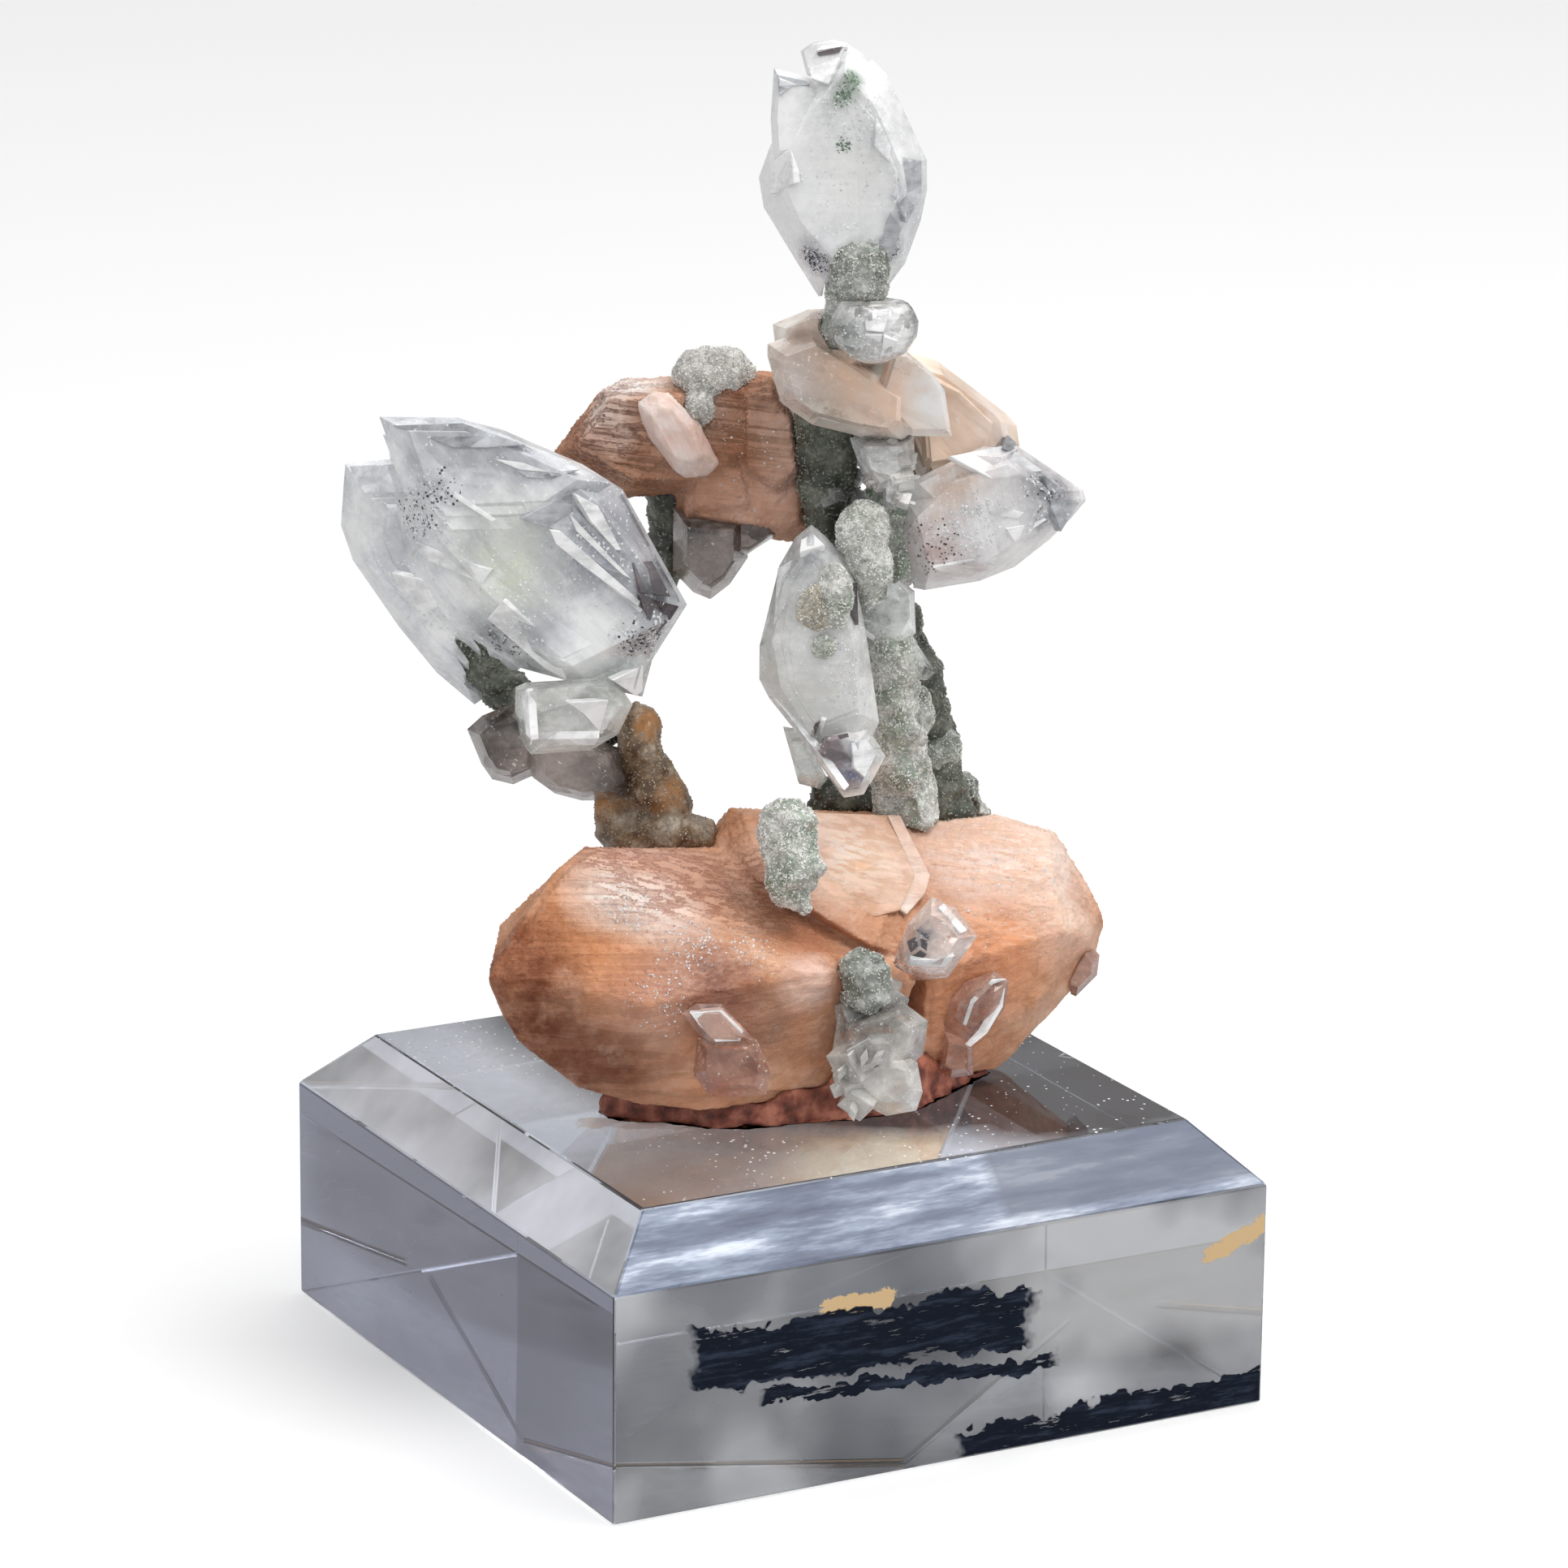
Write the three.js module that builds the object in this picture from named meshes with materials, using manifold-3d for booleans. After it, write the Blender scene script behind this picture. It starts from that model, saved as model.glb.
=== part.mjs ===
// Stilbite cluster on a bevelled clear block.
// Millimetres, +Z up. The origin is the middle of the block's underside, +X runs along the
// block's right front wall and +Y along its left wall.

import * as THREE from 'three';
import { ConvexGeometry } from 'three/addons/geometries/ConvexGeometry.js';
import { mergeVertices } from 'three/addons/utils/BufferGeometryUtils.js';
import Module from 'manifold-3d';

const wasm = await Module();
wasm.setup();

// Holder: a 3 inch square block with a quarter inch bevel, and the paper let into its underside
const BLOCK_SIDE = 76.2;
const BLOCK_HEIGHT = 30.5;
const BEVEL = 6.35;
const LABEL_SIZE = [60, 35, 0.2];
const LABEL_TURN = THREE.MathUtils.degToRad(53);
const RECESS_DEPTH = 0.5;
const RECESS_MARGIN = 0.5;

// Putty: its middle and half size on the block, its height before the sheaf sinks in, its rim
const PUTTY_CENTRE = [1, -4.5];
const PUTTY_HALF_SIZE = [21.5, 11.5];
const PUTTY_HEIGHT = 6;
const PUTTY_TOP_SHARE = 0.93;
const PUTTY_SIDES = 22;
const PUTTY_WAVE = 0.05;

// Specimen: it faces a viewer who stands off the block's near corner
const SPECIMEN_TURN = THREE.MathUtils.degToRad(-28.3);
const SIGHT_POINT = new THREE.Vector3(0.8, -671.4, 251.8);

// The gap that neighbours keep, and the size below which two corners are one
const CONTACT_GAP = 0.3;
const WELD = 0.002;

// Sides round a stalactite, the length of one of its rows, and how far its knobs stand out
// as a share of its radius, and the share on a lump
const STEM_SIDES = 9;
const STEM_ROW = 2.1;
const FEWEST_ROWS = 6;
const KNOB = 0.2;
const LUMP_KNOB = 0.1;

// The direction that the sides of a stalactite are counted from
const SIDE_REFERENCE = new THREE.Vector3(0.2, 1, 0);

const materials = {
  acrylic: new THREE.MeshStandardMaterial({ color: 0xdfe3ea, roughness: 0.05 }),
  paper: new THREE.MeshStandardMaterial({ color: 0xc9ab86, roughness: 0.9 }),
  putty: new THREE.MeshStandardMaterial({ color: 0x96523f, roughness: 0.8 }),
  stilbite: new THREE.MeshStandardMaterial({ color: 0xd9a184, roughness: 0.4 }),
  paleStilbite: new THREE.MeshStandardMaterial({ color: 0xe6c6ae, roughness: 0.35 }),
  apophyllite: new THREE.MeshStandardMaterial({ color: 0xd6dbda, roughness: 0.1 }),
  greyApophyllite: new THREE.MeshStandardMaterial({ color: 0x8f8780, roughness: 0.2 }),
  chalcedony: new THREE.MeshStandardMaterial({ color: 0xa3aa9d, roughness: 0.8 }),
  darkChalcedony: new THREE.MeshStandardMaterial({ color: 0x4c4c3c, roughness: 0.85 }),
  brownChalcedony: new THREE.MeshStandardMaterial({ color: 0x6d5540, roughness: 0.85 }),
};

const cluster = new THREE.Group();
const specimen = new THREE.Group();
specimen.rotation.z = SPECIMEN_TURN;
cluster.add(specimen);

// Solids from three.js geometry and back

function toSolid(geometry) {
  const bare = geometry.clone();
  bare.deleteAttribute('normal');
  bare.deleteAttribute('uv');
  const merged = mergeVertices(bare, WELD);
  const mesh = new wasm.Mesh({
    numProp: 3,
    vertProperties: new Float32Array(merged.attributes.position.array),
    triVerts: new Uint32Array(merged.index.array),
  });
  return new wasm.Manifold(mesh);
}

function toGeometry(solid) {
  const mesh = solid.getMesh();
  const corners = new THREE.BufferAttribute(new Float32Array(mesh.vertProperties), 3);
  const geometry = new THREE.BufferGeometry();
  geometry.setAttribute('position', corners);
  geometry.setIndex(new THREE.BufferAttribute(new Uint32Array(mesh.triVerts), 1));
  return geometry;
}

function join(solids) {
  return solids.reduce((whole, next) => whole.add(next));
}

function hull(points) {
  return toSolid(new ConvexGeometry(points));
}

function largestPiece(solid) {
  const pieces = solid.decompose();
  return pieces.reduce((best, next) => (next.volume() > best.volume() ? next : best));
}

// The same solid with every face moved outwards by a margin. Each corner moves so that the
// planes that meet there all move by the margin, as far as one point can do that.
function swell(solid, margin) {
  const geometry = toGeometry(solid);
  const position = geometry.attributes.position;
  const index = geometry.index.array;
  const corners = Array.from({ length: position.count }, () => []);
  const [a, b, c] = [new THREE.Vector3(), new THREE.Vector3(), new THREE.Vector3()];
  for (let i = 0; i < index.length; i += 3) {
    a.fromBufferAttribute(position, index[i]);
    b.fromBufferAttribute(position, index[i + 1]);
    c.fromBufferAttribute(position, index[i + 2]);
    const normal = b.clone().sub(a).cross(c.clone().sub(a));
    if (normal.length() > WELD * WELD) {
      normal.normalize();
      for (const corner of [index[i], index[i + 1], index[i + 2]]) corners[corner].push(normal);
    }
  }
  for (let i = 0; i < position.count; i += 1) {
    a.fromBufferAttribute(position, i).add(cornerStep(corners[i], margin));
    position.setXYZ(i, a.x, a.y, a.z);
  }
  return toSolid(geometry);
}

// The step that moves a corner's planes out by the margin, by damped least squares
function cornerStep(normals, margin) {
  const damping = 0.08;
  const longest = 2.2 * margin;
  const sums = { xx: damping, yy: damping, zz: damping, xy: 0, xz: 0, yz: 0 };
  const pull = new THREE.Vector3();
  for (const n of normals) {
    sums.xx += n.x * n.x;
    sums.yy += n.y * n.y;
    sums.zz += n.z * n.z;
    sums.xy += n.x * n.y;
    sums.xz += n.x * n.z;
    sums.yz += n.y * n.z;
    pull.addScaledVector(n, margin);
  }
  const system = new THREE.Matrix3();
  system.set(sums.xx, sums.xy, sums.xz, sums.xy, sums.yy, sums.yz, sums.xz, sums.yz, sums.zz);
  return pull.applyMatrix3(system.invert()).clampLength(0, longest);
}

// Placing: each piece is cut where an earlier one already stands, less the contact gap

const settled = [];

function boxesMeet(one, other) {
  const p = one.boundingBox();
  const q = other.boundingBox();
  return [0, 1, 2].every((k) => p.min[k] < q.max[k] && q.min[k] < p.max[k]);
}

function settle(name, solid, material) {
  const whole = settled
    .filter((earlier) => boxesMeet(solid, earlier.cutter))
    .reduce((left, earlier) => left.subtract(earlier.cutter), solid);
  const shape = largestPiece(whole);
  settled.push({ cutter: swell(shape, CONTACT_GAP) });
  const geometry = toGeometry(shape);
  geometry.computeBoundingBox();
  const anchor = geometry.boundingBox.getCenter(new THREE.Vector3());
  geometry.translate(-anchor.x, -anchor.y, -anchor.z);
  geometry.computeVertexNormals();
  const mesh = new THREE.Mesh(geometry, material);
  mesh.name = name;
  mesh.position.copy(anchor);
  specimen.add(mesh);
}

// Drawing: an outline is drawn on the upright plane through the specimen's middle, and its
// points are moved along the sight line to their own depth, away from the viewer

function atDepth([x, z], depth) {
  const reach = 1 - depth / SIGHT_POINT.y;
  return new THREE.Vector3(x, 0, z).sub(SIGHT_POINT).multiplyScalar(reach).add(SIGHT_POINT);
}

function alongBlock(x, y, z) {
  return new THREE.Vector3(x, y, z).applyAxisAngle(new THREE.Vector3(0, 0, 1), -SPECIMEN_TURN);
}

function middleOf(outline) {
  const sum = outline.reduce(([x, z], point) => [x + point[0], z + point[1]], [0, 0]);
  return [sum[0] / outline.length, sum[1] / outline.length];
}

function shrink(outline, share) {
  const [mx, mz] = middleOf(outline);
  return outline.map(([x, z]) => [mx + (x - mx) * share, mz + (z - mz) * share]);
}

// One flat-faced crystal: its girdle outline, a smaller table in front and one behind.
// lean turns it, as depth gained for each millimetre to the right and upwards.
function crystal({ edge, depth, front, back, table = 0.6, face, lean = [0, 0] }) {
  const [mx, mz] = middleOf(edge);
  const depthAt = ([x, z]) => depth + lean[0] * (x - mx) + lean[1] * (z - mz);
  const frontFace = face ?? shrink(edge, table);
  const backFace = shrink(edge, table);
  const points = [
    ...edge.map((point) => atDepth(point, depthAt(point))),
    ...frontFace.map((point) => atDepth(point, depthAt(point) - front)),
    ...backFace.map((point) => atDepth(point, depthAt(point) + back)),
  ];
  return hull(points);
}

// A stilbite sheaf: blades of one shape that fan out by a few degrees and overlap
function sheaf(points, fans) {
  const centre = points.reduce((sum, p) => sum.add(p), new THREE.Vector3()).divideScalar(points.length);
  const blades = fans.map(({ size, turn, shift = [0, 0, 0] }) => {
    const spin = new THREE.Euler(...turn.map(THREE.MathUtils.degToRad));
    const moved = points.map((p) => {
      const arm = p.clone().sub(centre);
      arm.multiply(new THREE.Vector3(...size)).applyEuler(spin);
      return arm.add(centre).add(new THREE.Vector3(...shift));
    });
    return hull(moved);
  });
  return join([hull(points), ...blades]);
}

// Knobs of a stalactite: a smooth bumpy value between -1 and 1 at each place
function knobs(p, seed) {
  const slow = Math.sin(1.1 * p.x + seed) * Math.cos(1.3 * p.y - seed) + Math.sin(1.2 * p.z + 2 * seed);
  const quick = Math.sin(2.3 * p.z - 1.7 * p.x + seed) * Math.sin(2.1 * p.y + 0.9 * p.z);
  return 0.36 * slow + 0.28 * quick;
}

// A stalactite: a sphere drawn out along a curve. Each stop is its place, depth and radius.
function stalactite(stops, seed, knob = KNOB) {
  const curve = new THREE.CatmullRomCurve3(stops.map(([x, z, depth]) => atDepth([x, z], depth)));
  const radii = stops.map((stop) => stop[3]);
  const length = curve.getLength();
  const rows = Math.max(FEWEST_ROWS, Math.round(length / STEM_ROW));
  const geometry = new THREE.SphereGeometry(1, STEM_SIDES, rows);
  const position = geometry.attributes.position;
  for (let i = 0; i < position.count; i += 1) {
    const ball = new THREE.Vector3().fromBufferAttribute(position, i);
    const share = Math.acos(THREE.MathUtils.clamp(ball.y, -1, 1)) / Math.PI;
    const around = Math.atan2(ball.z, ball.x);
    const centre = curve.getPoint(share);
    const tangent = curve.getTangent(share);
    const side = tangent.clone().cross(SIDE_REFERENCE).normalize();
    const front = tangent.clone().cross(side);
    const radius = radiusAt(radii, share) * roundEnd(share, length, radiusAt(radii, share));
    const rim = side.multiplyScalar(Math.cos(around)).addScaledVector(front, Math.sin(around));
    const place = centre.clone().addScaledVector(rim, radius);
    place.addScaledVector(rim, radius * knob * knobs(place, seed));
    position.setXYZ(i, place.x, place.y, place.z);
  }
  return toSolid(geometry);
}

function radiusAt(radii, share) {
  const place = share * (radii.length - 1);
  const low = Math.min(Math.floor(place), radii.length - 2);
  return THREE.MathUtils.lerp(radii[low], radii[low + 1], place - low);
}

// The share of its full radius that a stalactite has near an end, as on a ball
function roundEnd(share, length, radius) {
  const inward = Math.min(share, 1 - share) * length / radius;
  if (share < 1e-6 || share > 1 - 1e-6) return 0;
  return inward >= 1 ? 1 : Math.sqrt(1 - (1 - inward) ** 2);
}

// A knobbly lump round one place: a sphere with its poles up and down, pulled to the radii
function lump([x, z, depth], radii, seed, sides = 10) {
  const geometry = new THREE.SphereGeometry(1, sides, Math.round(sides * 0.7));
  geometry.rotateX(Math.PI / 2);
  geometry.scale(...radii);
  const position = geometry.attributes.position;
  const centre = atDepth([x, z], depth);
  for (let i = 0; i < position.count; i += 1) {
    const place = new THREE.Vector3().fromBufferAttribute(position, i);
    const out = 1 + LUMP_KNOB * knobs(place.clone().add(centre), seed);
    place.multiplyScalar(out).add(centre);
    position.setXYZ(i, place.x, place.y, place.z);
  }
  return toSolid(geometry);
}

// Holder

function addBlock() {
  const half = BLOCK_SIDE / 2;
  const inner = half - BEVEL;
  const shoulder = BLOCK_HEIGHT - BEVEL;
  const signs = [[-1, -1], [1, -1], [1, 1], [-1, 1]];
  const corners = signs.flatMap(([sx, sy]) => [
    new THREE.Vector3(sx * half, sy * half, 0),
    new THREE.Vector3(sx * half, sy * half, shoulder),
    new THREE.Vector3(sx * inner, sy * inner, BLOCK_HEIGHT),
  ]);
  const [long, wide] = LABEL_SIZE.map((side) => side + 2 * RECESS_MARGIN);
  const pocket = new THREE.BoxGeometry(long, wide, 2 * RECESS_DEPTH);
  pocket.rotateZ(LABEL_TURN);
  const geometry = toGeometry(hull(corners).subtract(toSolid(pocket)));
  geometry.computeVertexNormals();
  const block = new THREE.Mesh(geometry, materials.acrylic);
  block.name = 'acrylic_block';
  cluster.add(block);
}

function addLabel() {
  const label = new THREE.Mesh(new THREE.BoxGeometry(...LABEL_SIZE), materials.paper);
  label.name = 'paper_label';
  label.position.z = RECESS_DEPTH / 2;
  label.rotation.z = LABEL_TURN;
  cluster.add(label);
}

// The putty is a flattened pat with a wavy rim, pressed between the block and the lowest sheaf
function addPutty() {
  const geometry = new THREE.CylinderGeometry(1, 1, 1, PUTTY_SIDES, 1);
  const position = geometry.attributes.position;
  for (let i = 0; i < position.count; i += 1) {
    const around = Math.atan2(position.getX(i), position.getZ(i));
    const out = Math.hypot(position.getX(i), position.getZ(i));
    const isTop = position.getY(i) > 0;
    const wave = 1 + PUTTY_WAVE * (Math.sin(3 * around + 1) + Math.sin(7 * around));
    const reach = out * wave * (isTop ? PUTTY_TOP_SHARE : 1);
    const x = PUTTY_CENTRE[0] + PUTTY_HALF_SIZE[0] * reach * Math.sin(around);
    const y = PUTTY_CENTRE[1] - PUTTY_HALF_SIZE[1] * reach * Math.cos(around);
    const place = alongBlock(x, y, BLOCK_HEIGHT + (isTop ? PUTTY_HEIGHT : 0));
    position.setXYZ(i, place.x, place.y, place.z);
  }
  settle('mounting_putty', toSolid(geometry), materials.putty);
}

// Stilbite

// The largest sheaf lies along the block's right front wall: a left lobe that ends in a wedge,
// a right lobe with a blunt fan end, a tablet across the middle and a small blade in front
function addLowerStilbite() {
  const leftLobe = [
    [-36.2, -6, 47.9], [-35, -7, 44], [-31, -4, 53.5], [-26.2, -2, 57.4], [-22.2, 0, 58.4],
    [6, 0, 54.7], [-18, -13.5, 51.6], [-23.8, -17, 45.5], [-4, -17.5, 47], [8, -16.5, 45.5],
    [-33.7, -8, 41.4], [-30.9, -10, 39.2], [-28.5, -11, 36.7], [-22.9, -13, 34.8],
    [-16, -14.5, 33.5], [6, -13, 32.2], [-30, 4, 50], [-20, 5, 55.5], [6, 5, 53], [-31, 2, 42],
    [-18, 4, 33], [6, 4, 32.2],
  ].map((p) => alongBlock(...p));
  const rightLobe = [
    [10, -3, 56.8], [25.1, -3, 56.7], [28.6, -4, 55.3], [31, -5, 54.6], [34.1, -7, 48.7],
    [35.4, -8, 45.2], [33.7, -9, 40.5], [28.6, -9, 37.6], [25.9, -9, 34.3], [23.5, -8, 31.4],
    [28.5, -9, 52.5], [31.5, -11.5, 44], [27, -14, 46.5], [10, -15.5, 46], [10, -14, 36],
    [24, -13, 38.5], [21, -11, 31.4], [10, -11, 31.4], [27, 4, 54], [33, 1, 47], [32, 1, 41],
    [24, 4, 33], [10, 5, 31.8], [10, 5, 54],
  ].map((p) => alongBlock(...p));
  const tablet = [
    [-6.6, 2, 56.2], [-4.2, 2, 59.9], [14.9, 0.5, 57.4], [17, -3, 51.3], [15.5, -6, 49.5],
    [12, -10, 47], [-6, -8, 55], [11.5, -7, 53.7], [3, -15, 49], [9, -14, 46.5], [-3, 7, 57],
    [14, 6, 54.5], [16, 4, 48], [-5, 7, 50],
  ].map((p) => alongBlock(...p));
  const smallBlade = crystal({
    edge: [[2, 44], [5.5, 44], [7, 43], [6.5, 38], [5, 37], [3.5, 38], [3.5, 40], [2, 41.5]],
    depth: -15.5,
    front: 1,
    back: 4,
    table: 0.8,
  });
  const whole = join([
    sheaf(leftLobe, [
      { size: [0.97, 0.9, 0.97], turn: [3, 2, 0], shift: [0.3, -0.8, 0.2] },
      { size: [0.93, 1.0, 0.92], turn: [-4, 0, -2], shift: [0.6, -0.4, 0.4] },
      { size: [0.96, 0.94, 0.9], turn: [0, -3, 3], shift: [0, 1, -0.4] },
    ]),
    sheaf(rightLobe, [
      { size: [0.95, 0.95, 0.95], turn: [3, -3, 0], shift: [0.4, -0.6, 0.4] },
      { size: [0.96, 0.9, 0.94], turn: [-4, 2, -3], shift: [0.3, 0.6, 0.2] },
    ]),
    sheaf(tablet, [{ size: [0.94, 1, 0.96], turn: [2, 2, 2], shift: [0.2, -0.6, 0.1] }]),
    smallBlade,
  ]);
  settle('lower_stilbite', whole, materials.stilbite);
}

function addUpperLeftStilbite() {
  const main = crystal({
    edge: [
      [-23, 98], [-18.5, 104], [-16, 105.5], [-11.5, 105.7], [-1, 106.5], [1, 103], [0, 98],
      [-6.5, 94.5], [-13.5, 94.5], [-16, 93.5], [-20.5, 97],
    ],
    depth: 10,
    front: 5,
    back: 5,
    table: 0.72,
    lean: [0, 0.15],
  });
  const lower = crystal({
    edge: [[-10.5, 98.5], [0, 100], [3.5, 94.5], [3.5, 90], [1.5, 89], [-1, 90.5], [-10.5, 91]],
    depth: 9.5,
    front: 4,
    back: 4,
    table: 0.7,
  });
  const lobes = [
    crystal({
      edge: [[-22, 98.5], [-18, 104.5], [-9, 105], [-8, 99], [-13, 95.5], [-19, 96.8]],
      depth: 7.5,
      front: 3.6,
      back: 2,
      table: 0.75,
      lean: [-0.1, 0],
    }),
    crystal({
      edge: [[-4, 105], [-1, 106], [1.5, 102.5], [2.5, 95.5], [0, 93], [-4, 96]],
      depth: 7,
      front: 3,
      back: 3,
      table: 0.7,
    }),
    crystal({
      edge: [[-9.5, 97], [-3.5, 97], [-2, 92], [-9.5, 91.5]],
      depth: 7,
      front: 2,
      back: 3,
      table: 0.7,
    }),
  ];
  settle('upper_left_stilbite', join([main, lower, ...lobes]), materials.stilbite);
}

function addSmallPinkStilbite() {
  const shape = crystal({
    edge: [
      [-14.5, 103.2], [-13, 104.5], [-11.5, 104.3], [-8.5, 101.5], [-6.3, 97], [-7.5, 95.8],
      [-9.5, 95.5], [-10.7, 96.2], [-13.2, 99.5], [-14.2, 102],
    ],
    depth: 3.2,
    front: 1.8,
    back: 3,
    table: 0.62,
  });
  settle('small_pink_stilbite', shape, materials.paleStilbite);
}

// Pale blades that overlap round the top of the stem
function addCentreStilbite() {
  const upper = crystal({
    edge: [[-0.5, 111.5], [3, 113], [6.5, 113], [11.5, 108.5], [6.5, 105.5], [0, 107.5]],
    depth: 1,
    front: 3.4,
    back: 4,
    table: 0.72,
    lean: [-0.15, 0.2],
  });
  const bowl = crystal({
    edge: [
      [-1, 109.5], [-1, 108.3], [0.3, 103.7], [3, 102], [8.5, 100.5], [12.5, 99.9], [13.8, 101],
      [14, 104], [10.5, 106.3], [3, 111],
    ],
    depth: -1.5,
    front: 3.4,
    back: 6,
    table: 0.74,
    lean: [0.05, 0.12],
  });
  const rightBlade = crystal({
    edge: [
      [11.5, 109], [12.7, 109], [15.5, 106.7], [16.7, 105], [17.5, 100.3], [13.5, 100.3], [10, 104],
    ],
    depth: -2.5,
    front: 1.4,
    back: 3.6,
    table: 0.84,
    lean: [0.12, 0],
  });
  const rearBlade = crystal({
    edge: [[1, 112], [12, 110], [15.5, 104.5], [12, 99.5], [2, 101.5], [-0.5, 106]],
    depth: 5,
    front: 3,
    back: 3.5,
    table: 0.7,
    lean: [0.1, -0.1],
  });
  settle('centre_stilbite', join([upper, bowl, rightBlade, rearBlade]), materials.paleStilbite);
}

function addRightStilbite() {
  const blade = crystal({
    edge: [
      [12, 109], [15, 108.2], [16.3, 107.8], [19, 105.5], [21, 104], [23.2, 102.5], [24.2, 101.3],
      [24.5, 99.3], [22.5, 96.5], [14.5, 94.5], [12, 100],
    ],
    depth: 7.5,
    front: 3.6,
    back: 4,
    table: 0.72,
  });
  const fold = crystal({
    edge: [[14, 107.5], [18.5, 105.3], [22.5, 101.5], [22, 98], [15, 97]],
    depth: 4.5,
    front: 1.2,
    back: 3,
    table: 0.8,
    lean: [0.1, 0],
  });
  settle('right_stilbite', join([blade, fold]), materials.stilbite);
}

// Chalcedony

function addStems() {
  settle('back_stem', stalactite([
    [4.8, 106, 3, 2.4], [5, 102.5, 3.6, 3.1], [5, 98, 4.6, 3.3], [5.4, 92.5, 5.4, 3.0],
    [8, 87, 6.2, 2.7], [11.3, 82, 7, 2.6], [13.6, 77.2, 8, 2.4], [15.6, 72, 9, 2.2],
    [17, 66.5, 10, 2.3], [18, 60.5, 10.5, 2.8], [18.4, 56, 10.5, 3.0],
  ], 1), materials.darkChalcedony);
  settle('rear_root', stalactite([
    [19, 64.5, 12.6, 1.4], [19.8, 61.5, 12.8, 2.0], [20.6, 58, 12.8, 2.4], [20.8, 54, 12.4, 2.4],
  ], 2), materials.darkChalcedony);
  settle('dark_root', stalactite([
    [2.6, 60.4, 8, 1.5], [5.6, 61, 8.6, 2.1], [9, 60.8, 9.2, 2.4], [12.2, 60.2, 10, 2.3],
    [14.5, 59.4, 10.4, 1.8],
  ], 3), materials.darkChalcedony);
  settle('column_stem', stalactite([
    [8.7, 92.6, -2.4, 2.2], [8.7, 90, -2.2, 2.6], [9, 86.2, -1.2, 2.8], [10.9, 81.5, 0.4, 1.9],
    [12, 75.5, 2.2, 2.4], [12.5, 69.5, 3.8, 2.5], [12.9, 65, 5, 3.0], [14, 60, 7, 3.3],
    [14.6, 55.5, 8, 3.2],
  ], 4), materials.chalcedony);
  settle('right_stem', stalactite([
    [11, 101, 3.4, 1.7], [11.9, 97, 3.8, 2.1], [12, 92, 4.2, 2.2], [12.2, 87, 4.6, 2.1],
    [12.8, 82.5, 4.8, 1.6],
  ], 5), materials.chalcedony);
  settle('neck_druse', stalactite([
    [7.6, 120.2, -1.4, 1.7], [7.5, 117.6, -1.4, 2.8], [7.2, 114.5, -1.2, 2.7],
    [6.6, 111, -0.6, 2.6], [5.6, 107.5, 1, 2.4],
  ], 6, 0.14), materials.chalcedony);
}

function addLeftStems() {
  const brown = stalactite([
    [-14.6, 71.2, -1, 1.6], [-14.4, 68.5, -1, 2.3], [-13.9, 65.2, -1, 2.4], [-12.6, 62, -1, 2.7],
    [-11.4, 58, -1, 2.9], [-10.8, 53.5, -1, 2.8],
  ], 7);
  const swollenFoot = lump([-16.4, 59.4, 0.6], [3.1, 2.8, 3.4], 8);
  const foot = lump([-13.4, 56.2, 0], [4.4, 3.2, 2.6], 9);
  const toe = lump([-8.4, 57, 0], [2.6, 2.4, 2.2], 10);
  settle('brown_stem', join([brown, swollenFoot, foot, toe]), materials.brownChalcedony);
  settle('left_branch', stalactite([
    [-15.4, 68.6, 0.4, 1.5], [-18.5, 69, 1.2, 1.9], [-22.5, 69.4, 2.2, 2.0], [-26.4, 71, 2.8, 2.2],
    [-29.6, 73.4, 2.8, 2.1], [-31.6, 76.6, 2, 1.7], [-33, 79.4, 1.2, 1.3],
  ], 11), materials.darkChalcedony);
  settle('back_left_stem', stalactite([
    [-11.2, 97.5, 11.6, 1.7], [-11.4, 93.5, 12, 2.0], [-11.6, 88.5, 11.8, 2.0], [-12.8, 84, 10.6, 1.9],
    [-16, 79, 8.4, 1.8], [-19.2, 74.6, 6, 1.7], [-21.4, 71.4, 4, 1.5],
  ], 12), materials.darkChalcedony);
}

function addDruseBall() {
  const shape = join([
    lump([-7.9, 105.9, 7.4], [3.3, 3.2, 3.3], 13, 12),
    lump([-5.5, 106.5, 8], [2.8, 2.8, 2.8], 14),
    lump([-8.6, 102.6, 4.4], [1.8, 1.8, 2.0], 15, 8),
  ]);
  settle('druse_ball', shape, materials.chalcedony);
}

function addFingers() {
  settle('front_finger', join([
    stalactite([
      [2.2, 61.2, -12, 1.9], [1.8, 59, -12, 2.7], [1.4, 55.6, -12.6, 2.9], [2, 52, -13.2, 2.6],
      [3.2, 48.4, -13.8, 1.6],
    ], 16),
    lump([3.6, 54, -13.6], [1.5, 1.5, 1.6], 17, 8),
  ]), materials.chalcedony);
  settle('dark_finger', stalactite([
    [9, 44.6, -16, 2.1], [9.2, 42.6, -16, 2.7], [9.8, 40, -16, 2.7], [10.6, 37.4, -15.4, 2.0],
  ], 18), materials.chalcedony);
}

// Apophyllite

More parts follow.
